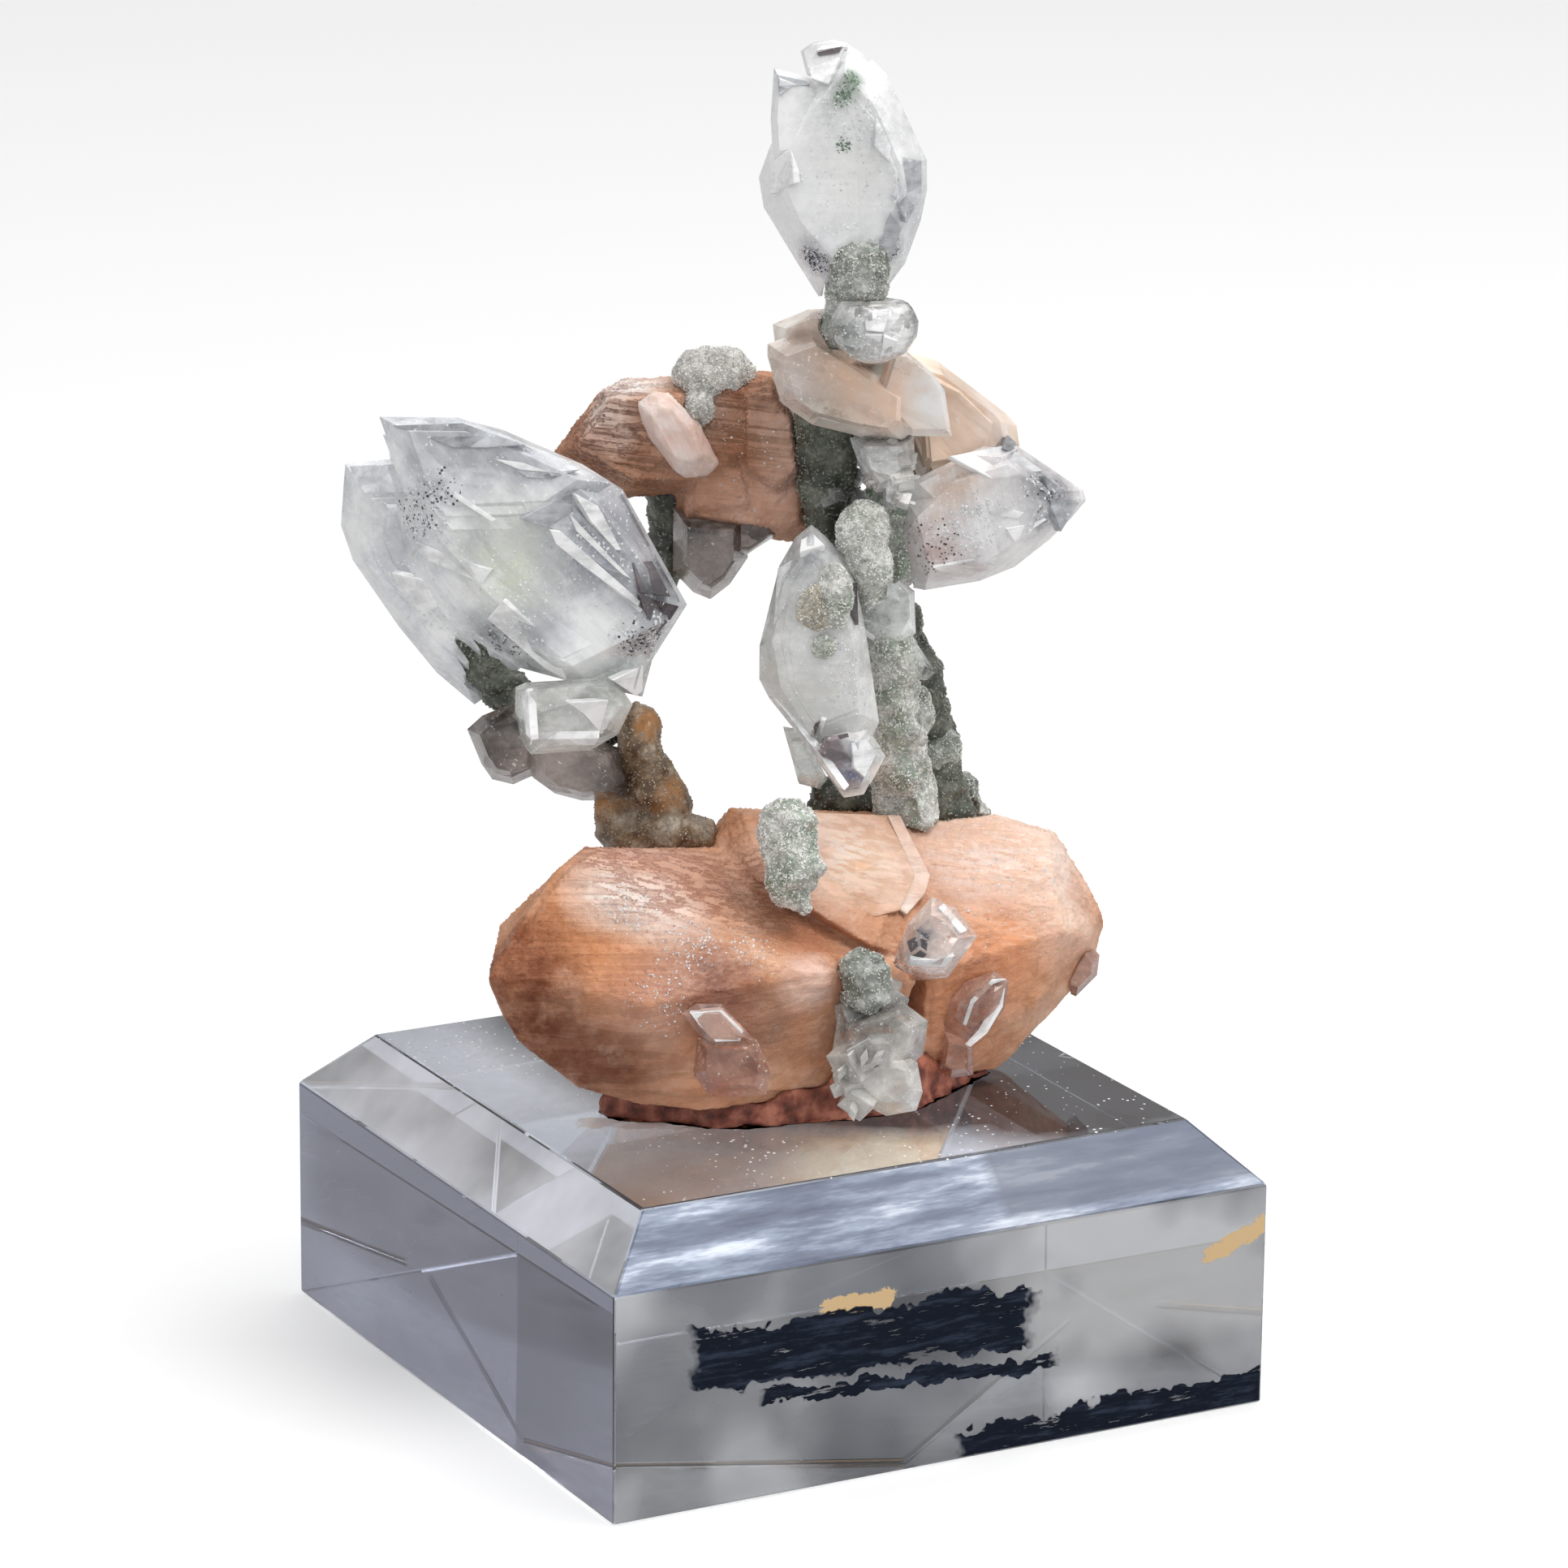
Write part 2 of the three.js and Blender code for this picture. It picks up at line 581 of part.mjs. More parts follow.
function addTopApophyllite() {
  const main = crystal({
    edge: [
      [6.5, 140.6], [9, 139], [10.5, 137.5], [11.2, 135.8], [14.5, 129], [14.6, 126], [14, 122.8],
      [12.5, 118.4], [10.5, 115.6], [4, 115], [1.5, 119], [-1.5, 124], [-2, 127], [-1, 130], [2, 136],
    ],
    depth: -1.5,
    front: 4.6,
    back: 5,
    face: [
      [6.3, 137.5], [9.3, 134.5], [12, 128.5], [12.2, 125.5], [9.8, 120.5], [5.5, 118.8],
      [2.2, 122.5], [0.3, 127], [1.6, 131], [3.6, 134.5],
    ],
    table: 0.62,
  });
  const leftTip = crystal({
    edge: [[-0.6, 138.1], [3, 137.1], [5, 135], [4.4, 129], [-0.6, 128.5], [-0.9, 133]],
    depth: -3.4,
    front: 1.8,
    back: 2.6,
    table: 0.74,
    lean: [0.1, 0.1],
  });
  const flake = crystal({
    edge: [[2, 139.8], [3, 140.6], [5, 141], [6.7, 140.6], [6.1, 139], [5, 136.3], [2.6, 137.4]],
    depth: -3,
    front: 0.9,
    back: 2.2,
    table: 0.86,
    lean: [0, 0.35],
  });
  const backBlade = crystal({
    edge: [[5.5, 138], [12.6, 131], [13.6, 124], [9, 118], [1.5, 121.5], [0.6, 130]],
    depth: 2.5,
    front: 2,
    back: 2.8,
    table: 0.72,
    lean: [0.12, 0],
  });
  settle('top_apophyllite', join([main, leftTip, flake, backBlade]), materials.apophyllite);
}

// A clear crystal that is round below and flat above, with a small faceted one on it
function addBallApophyllite() {
  const ball = lump([10, 112.2, -4.6], [3.7, 3.6, 4.1], 0, 14);
  const top = atDepth([10, 114.1], -4.6);
  const above = 10;
  const flat = new THREE.BoxGeometry(above, above, above);
  flat.translate(top.x, top.y, top.z + above / 2);
  const cap = crystal({
    edge: [[8.4, 113.6], [9, 116.5], [11.5, 117], [12.6, 116], [13.6, 113.8]],
    depth: -3.6,
    front: 1.9,
    back: 1.9,
    table: 0.7,
  });
  settle('ball_apophyllite', join([ball.subtract(toSolid(flat)), cap]), materials.apophyllite);
}

// The large fan at the left: a front blade with raised steps, and blunt blades behind it
function addLeftApophyllite() {
  const frontBlade = crystal({
    edge: [
      [-40.5, 101.2], [-32.5, 101.1], [-28.6, 100.1], [-20.5, 96.6], [-16.4, 94], [-13.2, 87.6],
      [-9.8, 82], [-12, 78.3], [-14, 75], [-19, 73], [-27, 75.2], [-33.5, 79.3], [-38.5, 86],
    ],
    depth: -1.5,
    front: 4.6,
    back: 4.6,
    face: [
      [-33, 98.3], [-26.5, 98.3], [-19.2, 92.7], [-14.4, 86.2], [-12.6, 80], [-21.5, 75.4],
      [-29.6, 83], [-35.6, 90.5],
    ],
    table: 0.66,
    lean: [0, 0.12],
  });
  const rearBlade = crystal({
    edge: [
      [-44.5, 96.4], [-40, 96.9], [-33.5, 95], [-28.5, 86], [-26.5, 75.4], [-28.6, 73.2],
      [-31.5, 71.2], [-35.3, 74.5], [-39.2, 79.4], [-41, 83.4], [-43.8, 86.3], [-45, 90],
    ],
    depth: 4.2,
    front: 3.2,
    back: 3,
    table: 0.76,
  });
  const upperBlade = crystal({
    edge: [
      [-41, 101.3], [-33, 101.3], [-24, 97.8], [-17.4, 94.6], [-22, 91.5], [-35.5, 90.8],
      [-38.6, 94.2],
    ],
    depth: -3.4,
    front: 2.4,
    back: 3,
    table: 0.72,
    lean: [0, 0.2],
  });
  const lowerBlade = crystal({
    edge: [[-24, 77.5], [-12.6, 79], [-14, 75.2], [-14.3, 72.2], [-16.4, 72.8], [-21.5, 73.8]],
    depth: -3.2,
    front: 1.6,
    back: 3.4,
    table: 0.7,
  });
  const steps = [
    [[-27.5, 93.4], [-22.4, 93.6], [-15.8, 86.6], [-16, 84.6], [-17.5, 85], [-27, 92.2]],
    [[-31, 90.5], [-27.4, 91.6], [-15.4, 83], [-15, 81], [-17, 81], [-30.4, 88.6]],
    [[-34, 87], [-30.6, 87.6], [-18.4, 79.6], [-17, 77.6], [-20, 77.6], [-32.6, 84.8]],
  ].map((edge, i) => crystal({
    edge,
    depth: -4.4 + 0.3 * i,
    front: 2.1,
    back: 2,
    table: 0.86,
    lean: [0, 0.1],
  }));
  const blades = [frontBlade, rearBlade, upperBlade, lowerBlade, ...steps];
  settle('left_apophyllite', join(blades), materials.apophyllite);
}

function addLeftSmallApophyllites() {
  const gem = crystal({
    edge: [
      [-27, 72.6], [-26, 73.1], [-19, 73.6], [-17, 73.3], [-15.4, 71], [-16.8, 68], [-19.5, 66.4],
      [-25.5, 65.9], [-26.5, 67.4], [-27, 70.4],
    ],
    depth: -5,
    front: 3,
    back: 3.4,
    table: 0.76,
  });
  settle('left_gem_apophyllite', gem, materials.apophyllite);
  const left = crystal({
    edge: [
      [-32, 68.1], [-30.5, 69.5], [-27, 71], [-24.4, 68.5], [-25, 63.6], [-27.4, 62.5], [-29.5, 63],
      [-30.6, 64.6],
    ],
    depth: 0.6,
    front: 3,
    back: 3,
    table: 0.66,
  });
  const right = crystal({
    edge: [
      [-26, 66.8], [-20.5, 67.3], [-16.8, 66.4], [-15.6, 62.6], [-16, 61], [-20.5, 60.9],
      [-23.2, 61.6], [-25.4, 63.2],
    ],
    depth: -1,
    front: 3,
    back: 3.6,
    table: 0.68,
  });
  settle('left_grey_apophyllites', join([left, right]), materials.greyApophyllite);
}

function addMiddleApophyllite() {
  const blade = crystal({
    edge: [
      [3.5, 90.3], [2, 89], [0.4, 86], [-0.6, 81.5], [-1.5, 77.5], [-1.5, 74], [-0.5, 72], [3, 67.4],
      [6.6, 62.6], [9, 66], [10.4, 69.6], [9.4, 74], [9, 79], [8, 84], [6.6, 87], [5, 89],
    ],
    depth: -3.4,
    front: 2.6,
    back: 2.6,
    face: [
      [3.4, 88.6], [6.4, 84.5], [7.6, 78.5], [8.4, 70.5], [3.5, 68.6], [0.6, 73.2], [-0.2, 78],
      [0.8, 84],
    ],
    table: 0.7,
  });
  const foot = crystal({
    edge: [[5, 67.8], [7.5, 68.4], [9.6, 68], [9.6, 63.2], [9, 61.9], [7, 61.5], [4.2, 65.6]],
    depth: -4.6,
    front: 1.7,
    back: 3,
    table: 0.5,
  });
  const heel = crystal({
    edge: [[8, 67.8], [9.4, 68.4], [11.1, 66], [9.6, 62.9], [8.4, 64.5]],
    depth: -3.2,
    front: 1.8,
    back: 2,
    table: 0.5,
  });
  settle('middle_apophyllite', join([blade, foot, heel]), materials.apophyllite);
  const small = crystal({
    edge: [[1, 68.6], [2.6, 68.3], [5, 63.4], [4.4, 62.4], [2.5, 62.9], [1.9, 65.5]],
    depth: 0.8,
    front: 1.3,
    back: 1.3,
    table: 0.6,
  });
  settle('middle_small_apophyllite', small, materials.apophyllite);
}

function addColumnApophyllites() {
  const clasp = crystal({
    edge: [[8.2, 84.8], [12.5, 84.6], [14, 83.4], [14.1, 79.4], [12.6, 78.2], [10, 78.2], [8.2, 79.6]],
    depth: 0.6,
    front: 3.2,
    back: 2.6,
    table: 0.78,
  });
  settle('column_apophyllite', clasp, materials.apophyllite);
  const flake = crystal({
    edge: [[13.2, 78], [14.5, 77.7], [16.1, 75], [15.5, 74.3], [13.4, 74.4]],
    depth: 1.4,
    front: 1,
    back: 1,
    table: 0.7,
  });
  settle('column_flake', flake, materials.apophyllite);
}

function addRightApophyllite() {
  const main = crystal({
    edge: [
      [20, 98.6], [24.5, 98.9], [27, 97], [31.2, 94.4], [31.5, 93.4], [30, 91.5], [28, 89.4],
      [24.5, 86.5], [21, 85], [15.5, 84], [13.5, 84.4], [12.2, 88], [12.6, 94.4], [18, 96.6],
    ],
    depth: 5.5,
    front: 5,
    back: 5,
    face: [[23.6, 97], [27.4, 94.2], [25.8, 90], [21.5, 87], [16, 86.3], [14.6, 91.5], [18.4, 95.2]],
    table: 0.62,
    lean: [0.1, 0],
  });
  const shoulder = crystal({
    edge: [[12.8, 94.6], [18, 97.2], [21, 98.8], [24.6, 98.6], [23, 93.5], [16, 91.5]],
    depth: 2.6,
    front: 1.8,
    back: 3,
    table: 0.7,
    lean: [0.15, 0],
  });
  settle('right_apophyllite', join([main, shoulder]), materials.apophyllite);
}

function addHangingApophyllites() {
  const large = crystal({
    edge: [[-10.6, 92], [-3.4, 91.6], [-3.3, 87], [-5, 84.4], [-7, 82.9], [-8.6, 83.5], [-10.6, 85.6]],
    depth: 8.6,
    front: 3.6,
    back: 3.4,
    table: 0.62,
  });
  const small = crystal({
    edge: [[-4.8, 91.4], [-0.3, 91], [-0.3, 89.4], [-3.5, 87.3], [-4.8, 87.3]],
    depth: 8,
    front: 2.4,
    back: 2.4,
    table: 0.6,
  });
  settle('hanging_apophyllites', join([large, small]), materials.greyApophyllite);
}

// Small crystals on the lowest sheaf
function addLowApophyllites() {
  settle('low_left_apophyllite', join([
    crystal({
      edge: [[-9.5, 37], [-8, 38.1], [-5.5, 38.1], [-3.5, 35.6], [-1.9, 34], [-6.5, 33.6], [-8, 35.4]],
      depth: -25.4,
      front: 1.2,
      back: 3.2,
      table: 0.5,
    }),
    crystal({
      edge: [[-8.2, 34.6], [-2, 34.4], [-0.6, 31], [-1, 28.6], [-6.5, 28.2], [-8.2, 30.6]],
      depth: -23,
      front: 1.2,
      back: 4,
      table: 0.66,
    }),
  ]), materials.apophyllite);
  settle('low_middle_apophyllite', crystal({
    edge: [[14.4, 47.5], [16.5, 50], [18.5, 49], [20.6, 46.4], [18, 42.5], [13.6, 42], [12.6, 43]],
    depth: -9.4,
    front: 2.2,
    back: 4.4,
    table: 0.6,
  }), materials.apophyllite);
  settle('low_right_apophyllite', join([
    crystal({
      edge: [
        [24.5, 41], [23, 42], [20.5, 41], [18.4, 39], [17.8, 36], [20.3, 33.8], [22.6, 36],
        [24.1, 38.5],
      ],
      depth: -6.6,
      front: 1.4,
      back: 4,
      table: 0.56,
    }),
    crystal({
      edge: [[18.4, 35.6], [20.8, 35], [21, 31], [19, 30.7], [17.9, 31.8]],
      depth: -6.8,
      front: 1.2,
      back: 3,
      table: 0.6,
    }),
  ]), materials.apophyllite);
  settle('edge_apophyllite', crystal({
    edge: [[33, 45.2], [34.1, 44], [33.9, 42], [32, 39.9], [31, 40.4], [30.8, 41.6]],
    depth: 6.2,
    front: 1.6,
    back: 2.6,
    table: 0.6,
  }), materials.apophyllite);
}

function addFrontApophyllites() {
  settle('front_apophyllites', join([
    crystal({
      edge: [
        [7, 36.5], [10.5, 37.6], [13.5, 38.5], [16, 36.5], [15.6, 33], [14, 31.4], [9, 30.8],
        [6.4, 32],
      ],
      depth: -15.8,
      front: 2.8,
      back: 4,
      table: 0.6,
    }),
    crystal({
      edge: [[6.4, 31.2], [10.5, 33.4], [15, 32.2], [15.6, 29], [15, 27], [12, 26.4], [10, 27.4]],
      depth: -16.8,
      front: 2.4,
      back: 4,
      table: 0.56,
    }),
  ]), materials.apophyllite);
}

function addStemCrystals() {
  settle('stem_crystals', join([
    crystal({
      edge: [[7.6, 99.6], [13.6, 99.8], [13.8, 96.6], [11.5, 94.5], [8.8, 96]],
      depth: -0.4,
      front: 2,
      back: 2.4,
      table: 0.6,
    }),
    crystal({
      edge: [[10.8, 96], [12.6, 96], [12.7, 93.4], [11.8, 92.6], [10.8, 93.2]],
      depth: -1.6,
      front: 1,
      back: 1.4,
      table: 0.7,
    }),
  ]), materials.apophyllite);
}

addBlock();
addLabel();
addLowerStilbite();
addPutty();
addStems();
addLeftStems();
addUpperLeftStilbite();
addSmallPinkStilbite();
addDruseBall();
addCentreStilbite();
addRightStilbite();
addTopApophyllite();
addBallApophyllite();
addLeftApophyllite();
addLeftSmallApophyllites();
addMiddleApophyllite();
addColumnApophyllites();
addRightApophyllite();
addHangingApophyllites();
addFingers();
addLowApophyllites();
addFrontApophyllites();
addStemCrystals();

export default cluster;
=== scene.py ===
# %% [markdown]
# # A stilbite cluster on a clear block
#
# The object is a mineral specimen: peach sheaves of stilbite, clear blades of apophyllite and
# sugary green stalactites of chalcedony, set with putty on a bevelled block of clear acrylic.
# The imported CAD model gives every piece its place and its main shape. This lesson gives each
# piece the surface and the inside that the real one has.

# %% Load the frame
import math
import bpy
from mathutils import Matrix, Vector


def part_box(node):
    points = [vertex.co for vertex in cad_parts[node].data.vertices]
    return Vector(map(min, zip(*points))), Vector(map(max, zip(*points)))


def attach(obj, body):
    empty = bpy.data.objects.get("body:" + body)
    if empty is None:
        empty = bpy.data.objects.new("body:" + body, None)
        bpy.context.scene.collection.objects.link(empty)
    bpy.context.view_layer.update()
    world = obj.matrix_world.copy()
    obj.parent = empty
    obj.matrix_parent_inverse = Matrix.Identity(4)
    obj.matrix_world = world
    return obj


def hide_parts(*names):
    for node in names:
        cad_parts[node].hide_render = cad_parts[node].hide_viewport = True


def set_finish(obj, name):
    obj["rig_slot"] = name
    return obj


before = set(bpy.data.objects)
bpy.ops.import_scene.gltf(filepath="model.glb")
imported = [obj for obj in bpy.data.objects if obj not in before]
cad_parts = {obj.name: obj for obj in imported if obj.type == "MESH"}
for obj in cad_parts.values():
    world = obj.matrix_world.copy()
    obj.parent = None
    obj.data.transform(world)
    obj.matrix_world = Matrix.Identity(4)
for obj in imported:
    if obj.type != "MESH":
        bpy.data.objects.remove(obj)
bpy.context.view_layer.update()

from types import SimpleNamespace

import bpy
import numpy as np
from mathutils.bvhtree import BVHTree
from mathutils import Matrix, Vector

MM = 0.001
scene = bpy.context.scene
print("CAD nodes:", len(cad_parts))

# %% [markdown]
# ## Working by hand, in code
#
# An operator acts on whatever is selected, so each step first selects one object alone. These
# helpers do what the mouse would do: select, enter edit mode, add a modifier and apply it.

# %% Helpers that select and shape
def select_only(piece):
    bpy.ops.object.select_all(action="DESELECT")
    piece.select_set(True)
    bpy.context.view_layer.objects.active = piece


def edit(piece, *steps):
    """Runs steps in edit mode, each a function, with all of the mesh selected at first."""
    select_only(piece)
    bpy.ops.object.mode_set(mode="EDIT")
    bpy.ops.mesh.select_all(action="SELECT")
    for step in steps:
        step()
    bpy.ops.object.mode_set(mode="OBJECT")


def modify(piece, kind, **settings):
    """Adds one modifier, sets it and applies it."""
    select_only(piece)
    modifier = piece.modifiers.new(kind.title(), kind)
    for name, value in settings.items():
        setattr(modifier, name, value)
    bpy.ops.object.modifier_apply(modifier=modifier.name)


def smooth_shading(piece):
    select_only(piece)
    bpy.ops.object.shade_smooth()


def apply_placing():
    """The new object's place, turn and size go into its mesh."""
    bpy.ops.object.transform_apply(location=True, rotation=True, scale=True)


# %% [markdown]
# A piece starts as a copy of a CAD node. When it is done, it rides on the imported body, takes
# its material slot from the record, and stands for the CAD node in the picture.

# %% Helpers that start and finish a piece
def new_piece(name, mesh):
    piece = bpy.data.objects.new(name, mesh)
    scene.collection.objects.link(piece)
    return piece


def copy_of(node, name):
    """A copy of a CAD node's mesh, merged, so that its triangles share their corners."""
    piece = new_piece(name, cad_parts[node].data.copy())
    piece.data.materials.clear()
    edit(piece, lambda: bpy.ops.mesh.remove_doubles(threshold=0.002 * MM))
    return piece


def finish_piece(piece, slot, *nodes):
    """The piece rides on the body, takes the record's slot and stands for its CAD nodes."""
    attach(piece, "root")
    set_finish(piece, slot)
    if nodes:
        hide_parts(*nodes)
    print(piece.name, sum(len(face.vertices) - 2 for face in piece.data.polygons), "triangles")


# %% [markdown]
# ## Places on the specimen
#
# The specimen is turned a little on its block, towards a viewer who stands off the block's
# corner. A place is easiest to give as that viewer sees it: so far right, so far up, and so
# far away from the viewer. The numbers are millimetres.

# %% Specimen places
SPECIMEN_TURN = math.radians(-28.3)
TURNED = Matrix.Rotation(SPECIMEN_TURN, 3, "Z")


def place(right, up, away):
    """The point in metres, from millimetres along the specimen's own directions."""
    return TURNED @ Vector((right, away, up)) * MM


def direction(right, away, up):
    return (TURNED @ Vector((right, away, up))).normalized()


print("one step to the right is", [round(v, 3) for v in direction(1, 0, 0)])

# %% [markdown]
# ## Camera, floor and light
#
# The viewer looks down by about 16 degrees through a long lens. A mineral like this is shown
# on a pale table in soft light: a large window of light high on the left, a weaker one on the
# right, and one behind, so that light comes through the clear crystals and the thin edges.

# %% Camera
PICTURE_SIDE = 1932
CAMERA_PLACE = (-0.3176, -0.5915, 0.2518)
CAMERA_YAW = math.radians(28.305)
CAMERA_PITCH = math.radians(15.737)
CAMERA_ROLL = math.radians(0.553)
camera_data = bpy.data.cameras.new("camera")
camera_data.lens = 152.77
camera_data.sensor_width = 36
camera_data.clip_start = 0.01
camera = bpy.data.objects.new("camera", camera_data)
scene.collection.objects.link(camera)
aim = Matrix.Rotation(-CAMERA_YAW, 4, "Z") @ Matrix.Rotation(math.pi / 2 - CAMERA_PITCH, 4, "X")
camera.matrix_world = Matrix.Translation(CAMERA_PLACE) @ aim @ Matrix.Rotation(CAMERA_ROLL, 4, "Z")
scene.camera = camera
print("camera at", CAMERA_PLACE)

# %% [markdown]
# A material is a tree of nodes. Two helpers do most of the wiring: one adds a node and fills
# its inputs in order, and one fills inputs by their names. An input takes a plain value, or a
# link from another node.

# %% Node helpers
def new_material(name):
    material = bpy.data.materials.new(name)
    material.use_nodes = True
    tree = material.node_tree
    return material, tree, tree.nodes["Principled BSDF"]


def feed(tree, socket, source):
    if source is None:
        return
    if isinstance(source, bpy.types.NodeSocket):
        tree.links.new(source, socket)
    elif isinstance(source, bpy.types.Node):
        tree.links.new(source.outputs[0], socket)
    else:
        socket.default_value = source


def put(tree, kind, *sources, **settings):
    """Adds a node. Settings are its own properties; sources link or fill its inputs in order."""
    node = tree.nodes.new(kind)
    for name, value in settings.items():
        setattr(node, name, value)
    for socket, source in zip(node.inputs, sources):
        feed(tree, socket, source)
    return node


def fill(tree, node, sources):
    """Fills a node's inputs by name."""
    for name, source in sources.items():
        feed(tree, node.inputs[name], source)


def object_coords(tree):
    return put(tree, "ShaderNodeTexCoord").outputs["Object"]


# %% [markdown]
# The floor is a wide pale plane, a hair below the block. To the camera it is nearly white, and
# to the light that bounces off it, it is greyer, so the object's undersides stay dark enough.

# %% Floor
bpy.ops.object.select_all(action="DESELECT")
bpy.ops.mesh.primitive_plane_add(size=3.2, location=(0, 0, -0.2 * MM))
floor = bpy.context.object
floor.name = "floor"
floor_material, tree, shader = new_material("pale table")
seen = put(tree, "ShaderNodeLightPath").outputs["Is Camera Ray"]
shade = put(tree, "ShaderNodeMapRange", seen, 0.0, 1.0, 0.56, 0.95)
fill(tree, shader, {"Base Color": shade, "Roughness": 0.7, "Specular IOR Level": 0.2})
floor.data.materials.append(floor_material)
print("floor side:", round(floor.dimensions.x, 1), "m")

# %% [markdown]
# A softbox is a rectangle of light. The numbers are its place, its width and height in metres,
# and its power in watts.

# %% Lights
TARGET = (0, 0, 0.08)


def softbox(name, location, width, height, power, tint=(1, 1, 1)):
    """A rectangle of light that points at the specimen's middle."""
    light = bpy.data.lights.new(name, "AREA")
    light.shape = "RECTANGLE"
    light.size = width
    light.size_y = height
    light.energy = power
    light.color = tint
    lamp = bpy.data.objects.new(name, light)
    scene.collection.objects.link(lamp)
    lamp.location = location
    aim_at = Vector(TARGET) - Vector(location)
    lamp.rotation_euler = aim_at.to_track_quat("-Z", "Y").to_euler()


softbox("key", (0.36, -0.36, 0.98), 0.6, 0.5, 5.6)
softbox("left", (-0.75, -0.35, 0.75), 0.6, 0.5, 1.3)
softbox("fill", (0.6, -0.85, 0.5), 0.8, 0.7, 0.9, (1.0, 0.98, 0.96))
softbox("back", (0.5, 1.3, 1.25), 1.5, 0.9, 1.7)
softbox("top", (0.05, 0.1, 1.3), 0.9, 0.9, 1.6)

# %% [markdown]
# The room is brighter above than at the sides, so a crystal face shows how it leans by its
# shade. The camera itself sees plain white. Light bends through many clear faces on its way,
# so the number of bounces is raised for clear things and kept low for the rest.

# %% Room
world = bpy.data.worlds.new("studio")
scene.world = world
world.use_nodes = True
sky = world.node_tree
sky.nodes.clear()
ray = put(sky, "ShaderNodeTexCoord")
parts = put(sky, "ShaderNodeSeparateXYZ", ray.outputs["Generated"])
height = put(sky, "ShaderNodeMapRange", parts.outputs["Z"], 0.0, 0.85, 0.32, 0.8)
studio = put(sky, "ShaderNodeBackground", height.outputs[0], 1.0)
paper = put(sky, "ShaderNodeBackground", (1, 1, 1, 1), 1.0)
path = put(sky, "ShaderNodeLightPath")
mix = put(sky, "ShaderNodeMixShader", path.outputs["Is Camera Ray"], studio, paper)
put(sky, "ShaderNodeOutputWorld", mix)

scene.view_settings.view_transform = "Standard"
scene.cycles.max_bounces = 8
scene.cycles.transmission_bounces = 8
scene.cycles.glossy_bounces = 3
scene.cycles.diffuse_bounces = 2
scene.cycles.transparent_max_bounces = 6
scene.cycles.blur_glossy = 0.3
scene.cycles.sample_clamp_indirect = 6
print("room:", world.name)

# %% [markdown]
# ## Masks and colours
#
# Every material below is layered in the same way. A mask is a number from 0 to 1 that says
# where a layer shows. It comes from noise, from a height, or from the distance to a place.
# Masks are multiplied where both must hold, and the largest is taken where either may.

# %% Noise, sums and colours
def mix_colour(tree, factor, first, second, blend="MIX"):
    node = put(tree, "ShaderNodeMix", data_type="RGBA", blend_type=blend)
    feed(tree, node.inputs["Factor"], factor)
    for socket, source in ((node.inputs[6], first), (node.inputs[7], second)):
        feed(tree, socket, (*source, 1) if isinstance(source, tuple) else source)
    return node.outputs[2]


def noise(tree, vector, scale, detail=3.0, rough=0.55):
    return put(tree, "ShaderNodeTexNoise", vector, None, scale, detail, rough).outputs["Fac"]


def cells_of(tree, vector, scale):
    return put(tree, "ShaderNodeTexVoronoi", vector, None, scale)


def calculate(tree, operation, first, second=None):
    return put(tree, "ShaderNodeMath", first, second, operation=operation)


def chain(tree, operation, sources):
    result = sources[0]
    for source in sources[1:]:
        result = calculate(tree, operation, result, source)
    return result


def multiply(tree, *sources):
    return chain(tree, "MULTIPLY", sources)


def largest(tree, *sources):
    return chain(tree, "MAXIMUM", sources)


def ramp_up(tree, source, low, high, start=0.0, end=1.0):
    """Start below low, end above high, and a straight line between them."""
    return put(tree, "ShaderNodeMapRange", source, low, high, start, end)


def colour_ramp(tree, source, *stops):
    ramp = put(tree, "ShaderNodeValToRGB", source)
    elements = ramp.color_ramp.elements
    while len(elements) < len(stops):
        elements.new(0.5)
    for element, (position, colour) in zip(elements, stops):
        element.position = position
        element.color = (*colour, 1)
    return ramp.outputs[0]


# %% [markdown]
# Two masks are used again and again: a ball with a soft rim, and a flat patch with a torn rim.
# A mapping in between stretches or turns the coordinates that a pattern is drawn on.

# %% Masks
def mapped(tree, coords, scale, turn=(0, 0, 0), kind="POINT"):
    mapping = put(tree, "ShaderNodeMapping", coords, vector_type=kind)
    fill(tree, mapping, {"Rotation": turn, "Scale": scale})
    return mapping


def dot(tree, coords, line):
    """How far along a line each place is, in metres."""
    product = put(tree, "ShaderNodeVectorMath", coords, tuple(line), operation="DOT_PRODUCT")
    return product.outputs["Value"]


def ball_mask(tree, coords, centre, radius, soft):
    """1 inside a ball, 0 outside it, with a soft rim. The centre is in metres, the rest in mm."""
    offset = put(tree, "ShaderNodeVectorMath", coords, operation="DISTANCE")
    offset.inputs[1].default_value = centre
    low, high = (radius - soft) * MM, (radius + soft) * MM
    return ramp_up(tree, offset.outputs["Value"], low, high, 1.0, 0.0)


